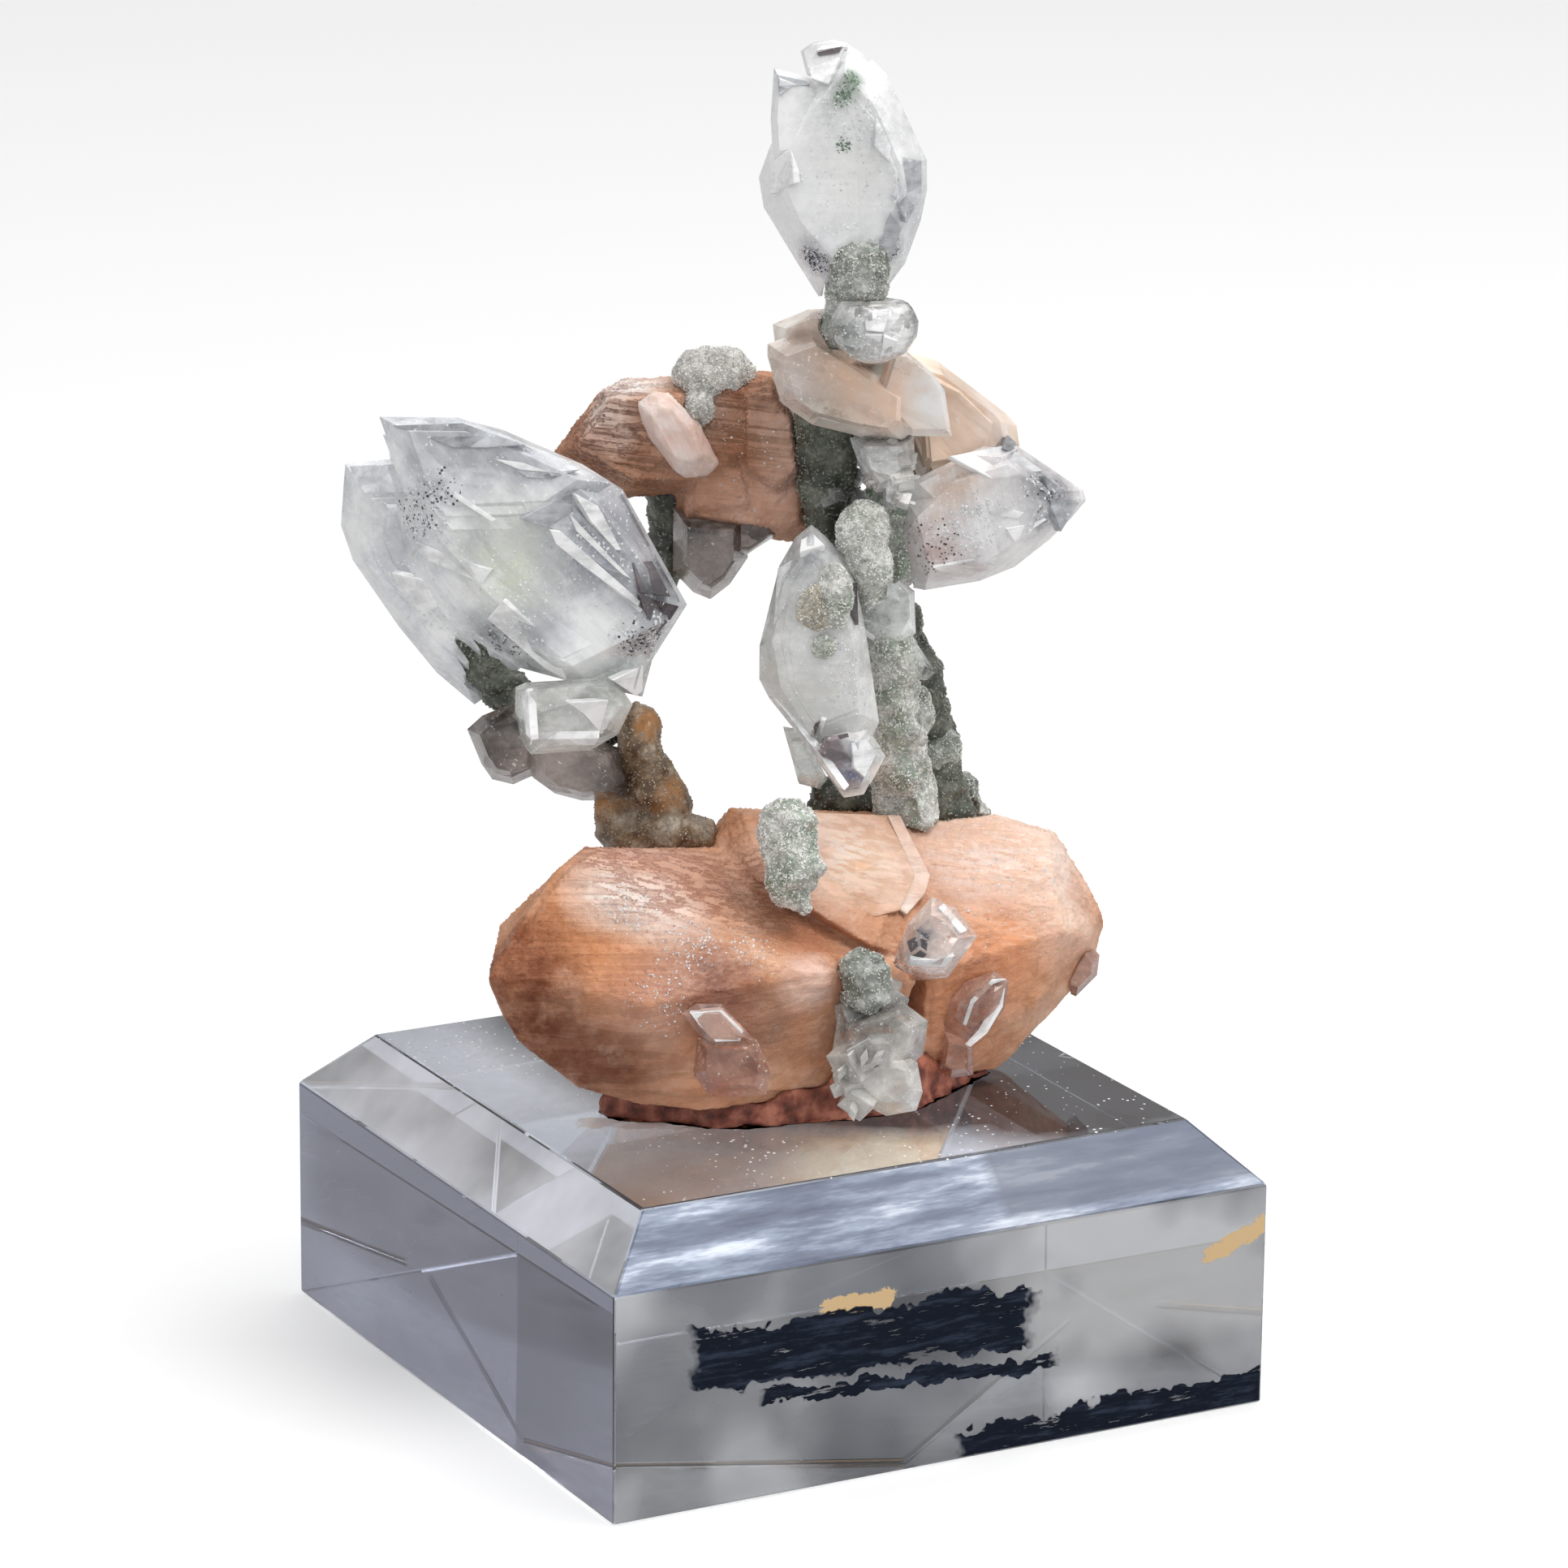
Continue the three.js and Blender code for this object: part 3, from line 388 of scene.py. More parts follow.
def patch_mask(tree, coords, middle, size, turn, ragged=2.5, detail=6.0):
    """1 inside a rectangle on the XY plane whose rim is torn by noise. Sizes are mm."""
    tear = put(tree, "ShaderNodeTexNoise", coords, None, 70.0 * detail, detail, 0.7).outputs["Color"]
    shaken = put(tree, "ShaderNodeVectorMath", tear, (0.5, 0.5, 0.5), operation="SUBTRACT")
    reach = (2 * ragged * MM, 2 * ragged * MM, 0)
    moved = put(tree, "ShaderNodeVectorMath", shaken, reach, coords, operation="MULTIPLY_ADD")
    half_size = (size[0] * MM / 2, size[1] * MM / 2, 1)
    centred = mapped(tree, moved, half_size, (0, 0, math.radians(turn)), "TEXTURE")
    centred.inputs["Location"].default_value = (middle[0] * MM, middle[1] * MM, 0)
    apart = put(tree, "ShaderNodeSeparateXYZ", centred)
    sides = [calculate(tree, "ABSOLUTE", apart.outputs[axis]) for axis in "XY"]
    return ramp_up(tree, largest(tree, *sides), 0.97, 1.03, 1.0, 0.0)


# %% Bump and absorption
def add_bump(tree, shader, height, strength, distance, normal=None):
    """Small relief that only the light sees. The distance is its depth in mm."""
    bump = put(tree, "ShaderNodeBump")
    fill(tree, bump, {"Strength": strength, "Distance": distance * MM})
    fill(tree, bump, {"Height": height, "Normal": normal})
    feed(tree, shader.inputs["Normal"], bump)


def add_absorption(tree, tint, density):
    """Takes colour out of the light inside a clear piece, more on a longer path."""
    absorb = put(tree, "ShaderNodeVolumeAbsorption", (*tint, 1), density)
    feed(tree, tree.nodes["Material Output"].inputs["Volume"], absorb)


# %% [markdown]
# ## The acrylic block
#
# The block is polished clear acrylic. Its edges are not knife sharp: a hair of rounding along
# each one catches a thin bright line, so the CAD shape gets a small bevel. The plastic takes
# a little light away on a long path, which makes its side faces greyer than its top.
#
# A polished block mirrors the room, and it has dust, smears and scratches on it. Those are
# layers in the material, and so are painted reflections of the room and a painted shade under
# the specimen, because plain studio light has nothing to mirror. The first cell finds the faces:
# the Normal and Object outputs tell the walls, the bevel, the top and the underside apart.
# Backfacing keeps the walls' layers off the inner side of the same wall.

# %% Faces of the block
BLOCK_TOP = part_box("acrylic_block")[1].z


def block_places(tree):
    """Masks for the block's faces, each 1 on its face and 0 elsewhere, and places on them."""
    texture = put(tree, "ShaderNodeTexCoord")
    coords = texture.outputs["Object"]
    position = put(tree, "ShaderNodeSeparateXYZ", coords)
    across, level = position.outputs["X"], position.outputs["Z"]
    sides = put(tree, "ShaderNodeSeparateXYZ", texture.outputs["Normal"])
    facing = sides.outputs["Z"]
    steep = calculate(tree, "ABSOLUTE", facing)
    flat = calculate(tree, "GREATER_THAN", steep, 0.8)
    leaning = ramp_up(tree, facing, 0.5, 0.6)
    sloped = multiply(tree, leaning, ramp_up(tree, facing, 0.8, 0.85, 1.0, 0.0))
    backfacing = put(tree, "ShaderNodeNewGeometry").outputs["Backfacing"]
    outside = calculate(tree, "SUBTRACT", 1.0, backfacing)
    walls = [ramp_up(tree, sides.outputs[axis], -0.95, -0.9, 1.0, 0.0) for axis in "XY"]
    slopes = [ramp_up(tree, sides.outputs[axis], -0.6, -0.5, 1.0, 0.0) for axis in "XY"]
    return SimpleNamespace(
        coords=coords,
        across=across,
        level=level,
        on_wall=put(tree, "ShaderNodeCombineXYZ", across, level),
        left_wall=multiply(tree, walls[0], outside),
        front_wall=multiply(tree, walls[1], outside),
        any_wall=ramp_up(tree, steep, 0.8, 0.85, 1.0, 0.0),
        left_slope=multiply(tree, slopes[0], sloped),
        front_slope=multiply(tree, slopes[1], sloped),
        under=multiply(tree, flat, ramp_up(tree, level, 1 * MM, 2 * MM, 1.0, 0.0)),
        top=multiply(tree, flat, ramp_up(tree, level, 20 * MM, 21 * MM)),
        clouds=noise(tree, coords, 34.0, 4.0),
        streaks=noise(tree, mapped(tree, coords, (0.16, 1, 1)), 240.0, 5.0, 0.65),
    )


# %% [markdown]
# The front wall has painted reflections of dark blue shapes with torn rims, pale paper and grey
# clouds, and the left wall a painted lilac one. A mark is its middle on the wall, its size and
# its turn. A cloud is its middle, its radius, and how much it lightens or darkens the wall.

# %% Layers on the walls
# Places of the painted reflections on the front wall: dark shapes, paper and clouds.
WALL_DARK_REFLECTIONS = [
    ((-9.9, 15.3), (39, 6.4), -2.5),
    ((-4.5, 10.0), (34, 1.6), -3.5),
    ((20.3, 1.2), (38, 4.8), 1.3),
]
WALL_PAPER_REFLECTIONS = [
    ((-10.5, 19.0), (8, 2.2), 0),
    ((34.5, 18.6), (8, 2.2), 22),
]
WALL_CLOUD_REFLECTIONS = [
    ((23, -38, 14), 8, 0.13),
    ((10, -38, 6), 7, -0.08),
    ((-22, -38, 7), 8, 0.1),
    ((0, -38, 22), 9, -0.06),
    ((30, -38, 4), 7, -0.14),
    ((-26, -38, 23), 7, -0.12),
    ((33, -38, 22), 6, -0.08),
    ((-4, -38, 3), 6, 0.07),
]


def wall_layers(tree, at):
    # Painted reflection: dark blue shapes with torn rims on the front wall, broken up by streaks.
    dark_reflections = [patch_mask(tree, at.on_wall, *mark, 2.8, 3.0) for mark in WALL_DARK_REFLECTIONS]
    # Painted reflection: pale paper on the front wall.
    paper_reflections = [patch_mask(tree, at.on_wall, *scrap, 1.8) for scrap in WALL_PAPER_REFLECTIONS]
    dark_reflection_streaks = noise(tree, mapped(tree, at.on_wall, (0.14, 1, 1)), 700.0, 5.0, 0.75)
    dark_reflection_breakup = ramp_up(tree, dark_reflection_streaks, 0.36, 0.4, 0.15, 1.0)
    scratched = mapped(tree, at.coords, (0.08, 1, 1), (0, 0, math.radians(20)))
    flaws = ramp_up(tree, noise(tree, scratched, 2600.0, 5.0, 0.75), 0.62, 0.7, 0.0, 0.35)
    # Painted reflection: grey clouds that lighten or darken the front wall.
    drift = noise(tree, at.coords, 34.0, 3.0, 0.5)
    for middle, radius, share in WALL_CLOUD_REFLECTIONS:
        cloud = ball_mask(tree, at.coords, [c * MM for c in middle], radius, radius)
        drift = calculate(tree, "ADD", drift, multiply(tree, cloud, share))
    blue_black = ramp_up(tree, dark_reflection_streaks, 0.5, 0.62)
    return SimpleNamespace(
        dark_reflections=multiply(tree, largest(tree, *dark_reflections), dark_reflection_breakup, at.front_wall),
        dark_reflection_colour=mix_colour(tree, blue_black, (0.012, 0.016, 0.026), (0.035, 0.045, 0.07)),
        paper=multiply(tree, largest(tree, *paper_reflections), at.front_wall),
        flaws=multiply(tree, at.any_wall, flaws),
        cloud_reflection=multiply(tree, at.front_wall, ramp_up(tree, drift, 0.35, 0.65, 0.25, 0.6)),
        cloud_reflection_colour=colour_ramp(
            tree, drift,
            (0.36, (0.065, 0.065, 0.07)), (0.5, (0.24, 0.24, 0.245)), (0.62, (0.66, 0.66, 0.66)),
        ),
        # Painted reflection: a lilac grey on the left wall.
        lilac=multiply(tree, at.left_wall, ramp_up(tree, drift, 0.4, 0.6, 0.45, 0.2)),
    )


# %% [markdown]
# The bevel's reflections of the light are painted: milky on its left side, and on its front
# side a streaked steel blue that is painted darker past the specimen's shade. The underside
# shows haze, and a painted brown shade of the specimen behind it. On the top lie dust and one
# smear.

# %% Layers on the bevel, the top and the underside
def bevel_layers(tree, at):
    # Painted reflection: a streaked steel blue on the front side of the bevel.
    steel = colour_ramp(
        tree, at.streaks,
        (0.34, (0.05, 0.065, 0.12)), (0.46, (0.12, 0.15, 0.23)),
        (0.54, (0.25, 0.3, 0.41)), (0.62, (0.72, 0.78, 0.9)),
    )
    # Painted shade: the steel blue is darker at the right end, past the specimen.
    shaded_right_end = ramp_up(tree, at.across, 6.5 * MM, 8 * MM, 0.0, 0.8)
    shaded_right_end = multiply(tree, shaded_right_end, ramp_up(tree, at.level, 24.8 * MM, 25.4 * MM))
    return SimpleNamespace(
        # Painted reflection: milky on the left side of the bevel.
        pale_bevel_reflection=multiply(tree, at.left_slope, ramp_up(tree, at.clouds, 0.4, 0.6, 0.62, 0.25)),
        blue=multiply(tree, at.front_slope, ramp_up(tree, at.streaks, 0.45, 0.62, 0.95, 0.75)),
        steel=mix_colour(tree, shaded_right_end, steel, (0.09, 0.11, 0.17)),
    )


def flat_layers(tree, at):
    lowest = ramp_up(tree, at.level, 0.05 * MM, 0.1 * MM, 1.0, 0.0)
    haze = ramp_up(tree, at.clouds, 0.38, 0.62, 0.05, 0.9)
    # Painted shade: a dark brown layer on the underside, behind the specimen.
    back = ramp_up(tree, dot(tree, at.coords, (0.6, 0.8, 0.0)), 4 * MM, 16 * MM, 0.0, 0.93)
    right = ramp_up(tree, at.across, -14 * MM, 2 * MM)
    broken = ramp_up(tree, at.clouds, 0.35, 0.6, 1.0, 0.5)
    grains = cells_of(tree, at.coords, 1000.0).outputs["Distance"]
    dusty = ramp_up(tree, noise(tree, at.coords, 90.0), 0.4, 0.6, 0.04, 0.17)
    smear = patch_mask(tree, at.coords, (-19.8, -8.1), (13, 3.5), -28)
    return SimpleNamespace(
        haze=multiply(tree, haze, ramp_up(tree, lowest, 0.0, 1.0, 0.22, 1.0), at.under),
        shade=multiply(tree, back, right, broken, at.under),
        dust=multiply(tree, calculate(tree, "LESS_THAN", grains, dusty), at.top),
        smear=multiply(tree, smear, at.top, ramp_up(tree, at.streaks, 0.4, 0.55, 0.1, 0.8)),
    )


# %% Acrylic material
def acrylic_material():
    """Clear where no layer lies. A layer's colour shows where its mask takes the clearness away."""
    material, tree, shader = new_material("clear acrylic")
    at = block_places(tree)
    wall, bevel, flat = wall_layers(tree, at), bevel_layers(tree, at), flat_layers(tree, at)
    solid = largest(
        tree, wall.dark_reflections, flat.haze, flat.dust, flat.shade, bevel.pale_bevel_reflection, bevel.blue,
        wall.flaws, wall.paper, flat.smear, wall.cloud_reflection, wall.lilac,
    )
    # The tone mixes in the painted reflections and the painted shade.
    tone = mix_colour(tree, flat.haze, (1.0, 1.0, 1.0), (0.78, 0.8, 0.84))
    tone = mix_colour(tree, bevel.pale_bevel_reflection, tone, (0.86, 0.86, 0.97))
    tone = mix_colour(tree, ramp_up(tree, bevel.blue, 0.0, 0.3), tone, bevel.steel)
    tone = mix_colour(tree, ramp_up(tree, wall.cloud_reflection, 0.0, 0.2), tone, wall.cloud_reflection_colour)
    tone = mix_colour(tree, ramp_up(tree, wall.lilac, 0.0, 0.1), tone, (0.22, 0.22, 0.28))
    tone = mix_colour(tree, wall.paper, tone, (0.72, 0.5, 0.26))
    tone = mix_colour(tree, ramp_up(tree, flat.shade, 0.0, 0.4), tone, (0.035, 0.026, 0.026))
    tone = mix_colour(tree, wall.dark_reflections, tone, wall.dark_reflection_colour)
    dull = largest(tree, wall.dark_reflections, multiply(tree, bevel.blue, 0.6))
    smears = ramp_up(tree, noise(tree, at.coords, 70.0, 5.0, 0.6), 0.5, 0.75, 0.01, 0.07)
    fill(tree, shader, {
        "Base Color": tone,
        "Transmission Weight": calculate(tree, "SUBTRACT", 1.0, solid),
        "Specular IOR Level": ramp_up(tree, dull, 0.0, 1.0, 0.5, 0.0),
        "Roughness": largest(tree, smears, multiply(tree, wall.dark_reflections, 0.9)),
        "IOR": 1.49,
    })
    add_absorption(tree, (0.7, 0.75, 0.84), 16.0)
    return material


acrylic = acrylic_material()
print("acrylic:", len(acrylic.node_tree.nodes), "nodes")

# %% [markdown]
# The clear block casts no shadow of its own, so light reaches the table and the label under
# it as it does through real acrylic.

# %% Block with polished edges
EDGE_ROUNDING = 0.35
block = copy_of("acrylic_block", "clear_block")
edit(block, lambda: bpy.ops.mesh.dissolve_limited(angle_limit=math.radians(1)))
modify(block, "BEVEL", width=EDGE_ROUNDING * MM, segments=2, limit_method="ANGLE", angle_limit=0.5)
block.data.materials.append(acrylic)
finish_piece(block, "acrylic", "acrylic_block")
block.visible_shadow = False

# %% [markdown]
# ## The label
#
# A tan card lies in a shallow recess under the block. It has blotches of a darker tan and fine
# fibres, and its side in the specimen's shade is painted a darker brown as shade.

# %% Label
def card_material():
    material, tree, shader = new_material("tan card")
    coords = object_coords(tree)
    card = colour_ramp(
        tree, noise(tree, coords, 60.0, 5.0, 0.6),
        (0.35, (0.5, 0.26, 0.1)), (0.48, (0.86, 0.55, 0.27)), (0.6, (1.0, 0.78, 0.46)),
    )
    fibre = noise(tree, coords, 1800.0, 4.0, 0.7)
    # Painted shade: the card's left side, in the specimen's shadow, is darker brown.
    painted_shade_side = ramp_up(tree, dot(tree, coords, direction(1, 0, 0)), -1 * MM, 5 * MM, 0.85, 0.0)
    card = mix_colour(tree, painted_shade_side, card, (0.26, 0.14, 0.085))
    card = mix_colour(tree, ramp_up(tree, fibre, 0.5, 0.68, 0.0, 0.35), card, (0.36, 0.2, 0.1))
    feed(tree, shader.inputs["Base Color"], card)
    add_bump(tree, shader, fibre, 0.3, 0.1)
    return material


label = copy_of("paper_label", "card_label")
label.data.materials.append(card_material())
finish_piece(label, "paper", "paper_label")

# %% [markdown]
# ## Sugary stalactites
#
# Chalcedony grows as a knobbly stalactite, and here each one wears a crust of tiny quartz
# points that glitter like sugar. A bump map can't glitter at its outline, so the crust is real:
# one quartz point is modelled by hand, and thousands of small copies are set on each stem.

# %% One quartz point
def shape_of(piece):
    """The piece's corners, and its faces as lists of corner numbers."""
    corners = np.zeros(len(piece.data.vertices) * 3)
    piece.data.vertices.foreach_get("co", corners)
    return corners.reshape(-1, 3), [list(face.vertices) for face in piece.data.polygons]


def set_corners(piece, corners):
    piece.data.vertices.foreach_set("co", corners.ravel())
    piece.data.update()


def select_top(piece):
    """Enters edit mode with only the upper face selected."""
    for face in piece.data.polygons:
        face.select = face.normal.z > 0.9
    select_only(piece)
    bpy.ops.object.mode_set(mode="EDIT")


def model_quartz_point():
    bpy.ops.object.select_all(action="DESELECT")
    bpy.ops.mesh.primitive_cone_add(
        vertices=5, radius1=0.5, radius2=0.3, depth=0.6, location=(0, 0, 0.3))
    point = bpy.context.object
    select_top(point)
    bpy.ops.mesh.extrude_region_move(TRANSFORM_OT_translate={"value": (0, 0, 0.4)})
    bpy.ops.mesh.merge(type="CENTER")
    bpy.ops.object.mode_set(mode="OBJECT")
    apply_placing()
    return point


def pattern_of(model, title):
    """The shape of a modelled piece, which then leaves the scene: only its copies are wanted."""
    shape = shape_of(model)
    bpy.data.objects.remove(model)
    print(title + ":", len(shape[1]), "faces")
    return shape


QUARTZ = pattern_of(model_quartz_point(), "quartz point")

# %% [markdown]
# Copies are set at random spots, with more of them where a face is larger. Each stands along
# the surface's outward direction, turned about it at random, and all of them make one mesh.

# %% Set copies on a surface
def surface_spots(piece, count, random):
    """Places spread evenly over the piece's surface, and the outward direction at each."""
    piece.data.calc_loop_triangles()
    corners = shape_of(piece)[0]
    index = np.zeros(len(piece.data.loop_triangles) * 3, int)
    piece.data.loop_triangles.foreach_get("vertices", index)
    a, b, c = (corners[index.reshape(-1, 3)[:, k]] for k in range(3))
    normal = np.cross(b - a, c - a)
    size = np.linalg.norm(normal, axis=1)
    chosen = random.choice(len(size), count, p=size / size.sum())
    u, v = random.random((2, count, 1))
    over = u + v > 1
    u, v = np.where(over, 1 - u, u), np.where(over, 1 - v, v)
    spots = a[chosen] + u * (b - a)[chosen] + v * (c - a)[chosen]
    return spots, (normal / np.maximum(size, 1e-15)[:, None])[chosen]


def unit(rows):
    return rows / np.linalg.norm(rows, axis=1)[:, None]


def copies_mesh(name, pattern, spots, up, random, width, length, sink=0.25):
    """One mesh of many copies of a pattern, each standing along its own direction."""
    corners, faces = pattern
    count = len(spots)
    side = unit(np.cross(up, random.normal(size=(count, 3))))
    front = np.cross(up, side)
    local = corners[None] * np.stack([width, width, length], 1)[:, None]
    local[:, :, 2] -= sink * length[:, None]
    placed = spots[:, None] + sum(
        local[:, :, k : k + 1] * axis[:, None] for k, axis in enumerate((side, front, up)))
    mesh = bpy.data.meshes.new(name)
    step = len(corners)
    all_faces = [[v + k * step for v in face] for k in range(count) for face in faces]
    mesh.from_pydata(placed.reshape(-1, 3), [], all_faces)
    return new_piece(name, mesh)


def join_to(piece, *others):
    select_only(piece)
    for other in others:
        other.select_set(True)
    bpy.ops.object.join()


POINT_LEAN = 0.45
POINT_LENGTH = 1.1


def sugar(piece, material, per_mm2, size, seed):
    """Sets quartz points all over a piece, as many as its area asks for."""
    random = np.random.default_rng(seed)
    area = sum(face.area for face in piece.data.polygons) / MM**2
    spots, up = surface_spots(piece, int(area * per_mm2), random)
    up = unit(up + POINT_LEAN * random.normal(size=up.shape))
    width = size * MM * random.uniform(0.5, 1.25, len(spots))
    length = width * random.uniform(0.7, 1.3, len(spots)) * POINT_LENGTH
    crust = copies_mesh(piece.name + "_sugar", QUARTZ, spots, up, random, width, length)
    crust.data.materials.append(material)
    join_to(piece, crust)


# %% [markdown]
# Under the crust, each stem is a copy of the CAD solid, remeshed into small even faces so that
# it can bulge. Three Displace modifiers shape it: one for the large knobs, one for the round
# grape-like swellings on them, and a fine one for the grain between the quartz points.

# %% Stems
def bump_texture(name, kind, scale, depth=2):
    texture = bpy.data.textures.new(name, kind)
    texture.noise_scale = scale * MM
    if kind == "CLOUDS":
        texture.noise_depth = depth
    return texture


knob_texture = bump_texture("knobs", "CLOUDS", 3.2, 1)
grape_texture = bump_texture("grapes", "VORONOI", 1.7)
grain_texture = bump_texture("grain", "CLOUDS", 0.7, 3)
STEM_VOXEL = 0.42
STEM_SWELL = 0.25
GRAPE_DEPTH = -0.5
GRAIN_HEIGHT = 0.22


def swell_by(piece, amount):
    """Moves the whole surface outward by an amount in mm."""
    modify(piece, "DISPLACE", strength=amount * MM, mid_level=0)


def displace(piece, texture, strength, mid=0.5):
    modify(
        piece, "DISPLACE", texture=texture, strength=strength * MM, mid_level=mid,
        texture_coords="LOCAL", direction="NORMAL",
    )


def remesh(piece, voxel, rounds=0):
    """Small even faces, then some rounds of smoothing."""
    modify(piece, "REMESH", mode="VOXEL", voxel_size=voxel * MM)
    if rounds:
        modify(piece, "SMOOTH", factor=0.5, iterations=rounds)


def stem(node, name, knobs):
    piece = copy_of(node, name)
    remesh(piece, STEM_VOXEL, 4)
    swell_by(piece, STEM_SWELL)
    displace(piece, knob_texture, knobs)
    displace(piece, grape_texture, GRAPE_DEPTH, 0.3)
    displace(piece, grain_texture, GRAIN_HEIGHT)
    smooth_shading(piece)
    return piece


# %% [markdown]
# The stalactites run from pale green through grey to a green that is nearly black, and one is
# brown with rusty knobs. The patches are noise, and each grain is a little lighter or darker.

# %% Stem colours
def chalcedony_material(name, dark, middle, pale, rust=()):
    """Three shades in patches. Rust is a list of balls, each a place and a radius."""
    material, tree, shader = new_material(name)
    coords = object_coords(tree)
    patches = noise(tree, coords, 330.0, 4.0)
    tone = colour_ramp(tree, patches, (0.36, dark), (0.5, middle), (0.64, pale))
    grains = cells_of(tree, coords, 2600.0).outputs["Color"]
    speck = colour_ramp(tree, grains, (0.35, (0.72, 0.72, 0.72)), (0.8, (1.3, 1.3, 1.3)))
    tone = mix_colour(tree, 0.8, tone, speck, "MULTIPLY")
    for centre, radius in rust:
        knob = ball_mask(tree, coords, place(*centre), radius, 0.6)
        tone = mix_colour(tree, knob, tone, (0.42, 0.2, 0.07))
    fill(tree, shader, {
        "Base Color": tone,
        "Roughness": ramp_up(tree, patches, 0.3, 0.7, 0.3, 0.6),
        "Subsurface Weight": 0.25,
        "Subsurface Radius": (0.0012, 0.0012, 0.001),
        "Subsurface Scale": 1.0,
        "Coat Weight": 0.35,
        "Coat Roughness": 0.12,
    })
    return material


pale_green = chalcedony_material(
    "pale green chalcedony", (0.27, 0.34, 0.25), (0.52, 0.54, 0.47), (0.8, 0.79, 0.74))
dark_green = chalcedony_material(
    "dark green chalcedony", (0.025, 0.03, 0.02), (0.07, 0.08, 0.055), (0.2, 0.21, 0.17))
brown_grey = chalcedony_material(
    "brown grey chalcedony", (0.09, 0.045, 0.02), (0.22, 0.14, 0.075), (0.42, 0.35, 0.27),
    [((-12.9, 70.0, -2.5), 2.0), ((-11.9, 62.0, -1.5), 2.2), ((-18.0, 60.5, 0), 2.0)])
dove_grey = chalcedony_material(
    "dove grey chalcedony", (0.4, 0.38, 0.34), (0.56, 0.54, 0.5), (0.74, 0.72, 0.68))
grey_green = chalcedony_material(
    "grey green chalcedony", (0.15, 0.17, 0.14), (0.3, 0.33, 0.29), (0.55, 0.57, 0.53))
brown_druse = chalcedony_material(
    "brown druse", (0.3, 0.26, 0.18), (0.46, 0.41, 0.31), (0.62, 0.57, 0.46))


def sugar_material(name, colour, clear):
    """Quartz points: partly clear, each grain a little lighter or darker."""
    material, tree, shader = new_material(name)
    coords = object_coords(tree)
    grains = cells_of(tree, coords, 2400.0)
    patches = noise(tree, coords, 300.0)
    lot = multiply(tree, grains.outputs["Color"], patches)
    fill(tree, shader, {
        "Base Color": colour_ramp(tree, lot, (0.08, tuple(0.4 * c for c in colour)), (0.3, colour)),
        "Roughness": ramp_up(tree, patches, 0.3, 0.7, 0.12, 0.3),
        "Transmission Weight": ramp_up(tree, grains.outputs["Distance"], 0.2, 0.6, clear, 0.3 * clear),
        "IOR": 1.54,
    })
    return material


pale_sugar = sugar_material("pale quartz sugar", (0.97, 0.97, 0.94), 0.15)
green_sugar = sugar_material("green grey quartz sugar", (0.34, 0.35, 0.3), 0.2)
grey_sugar = sugar_material("grey quartz sugar", (0.8, 0.79, 0.74), 0.15)
brown_sugar = sugar_material("brown quartz sugar", (0.5, 0.43, 0.34), 0.2)
print("materials so far:", len(bpy.data.materials))

# %% [markdown]
# Each stem is named with its colours, its slot, the number of quartz points on a square
# millimetre, and their width in millimetres.

# %% Grow the stems
STEMS = {
    "column_stem": ("column_stalactite", pale_green, pale_sugar, "chalcedony", 15.0, 0.24),
    "right_stem": ("right_stalactite", pale_green, pale_sugar, "chalcedony", 11.0, 0.24),
    "neck_druse": ("sugary_neck", grey_green, pale_sugar, "chalcedony", 11.0, 0.22),
    "druse_ball": ("sugary_ball", dove_grey, pale_sugar, "chalcedony", 18.0, 0.2),
    "front_finger": ("front_finger_stalactite", pale_green, pale_sugar, "chalcedony", 17.0, 0.24),
    "dark_finger": ("lower_finger_stalactite", grey_green, grey_sugar, "chalcedony", 10.0, 0.2),
    "back_stem": ("rear_stalactite", dark_green, green_sugar, "dark_chalcedony", 6.0, 0.26),
    "rear_root": ("rear_foot", grey_green, grey_sugar, "dark_chalcedony", 9.0, 0.24),
    "dark_root": ("dark_foot", dark_green, green_sugar, "dark_chalcedony", 5.0, 0.26),
    "left_branch": ("left_branch_stalactite", dark_green, green_sugar, "dark_chalcedony", 7.0, 0.26),
    "back_left_stem": ("upper_left_stalactite", dark_green, green_sugar, "dark_chalcedony", 6.0, 0.26),
    "brown_stem": ("brown_stalactite", brown_grey, brown_sugar, "brown_chalcedony", 5.0, 0.22),
}
KNOBS = 1.9
FLATTER_KNOBS = {"druse_ball": 0.5, "neck_druse": 1.0}
stems = {}
for seed, (node, settings) in enumerate(STEMS.items()):
    name, material, crust_material, slot_name, per_mm2, size = settings
    piece = stem(node, name, FLATTER_KNOBS.get(node, KNOBS))
    piece.data.materials.append(material)
    sugar(piece, crust_material, per_mm2, size, seed)
    finish_piece(piece, slot_name, node)
    stems[node] = piece

# %% [markdown]
# ## Stilbite sheaves
#
# Stilbite grows as a sheaf of thin blades, so its faces carry fine ridges that run along the
# sheaf, and its colour deepens where the crystal is thick. Its surface is pearly, and light
# travels a few millimetres inside it, which is why its thin edges glow.
#
# Noise stretched along the sheaf draws the ridges, stretched cells draw its flat plates, and
# each cell leans a little its own way, so that single plates flash in the light. A zone is a
# ball: its middle, its radius, how soft its rim is, and its tint. Lines are zones too, in
# which dark striations show.

# %% Stilbite colour
def spot(right, up, away):
    return tuple(place(right, up, away))


def along(tree, coords, turn, stretch):
    """Coordinates stretched along a direction, for patterns that run as ridges do."""
    return mapped(tree, coords, (1 / stretch, 1.0, 1.0), turn, "TEXTURE")


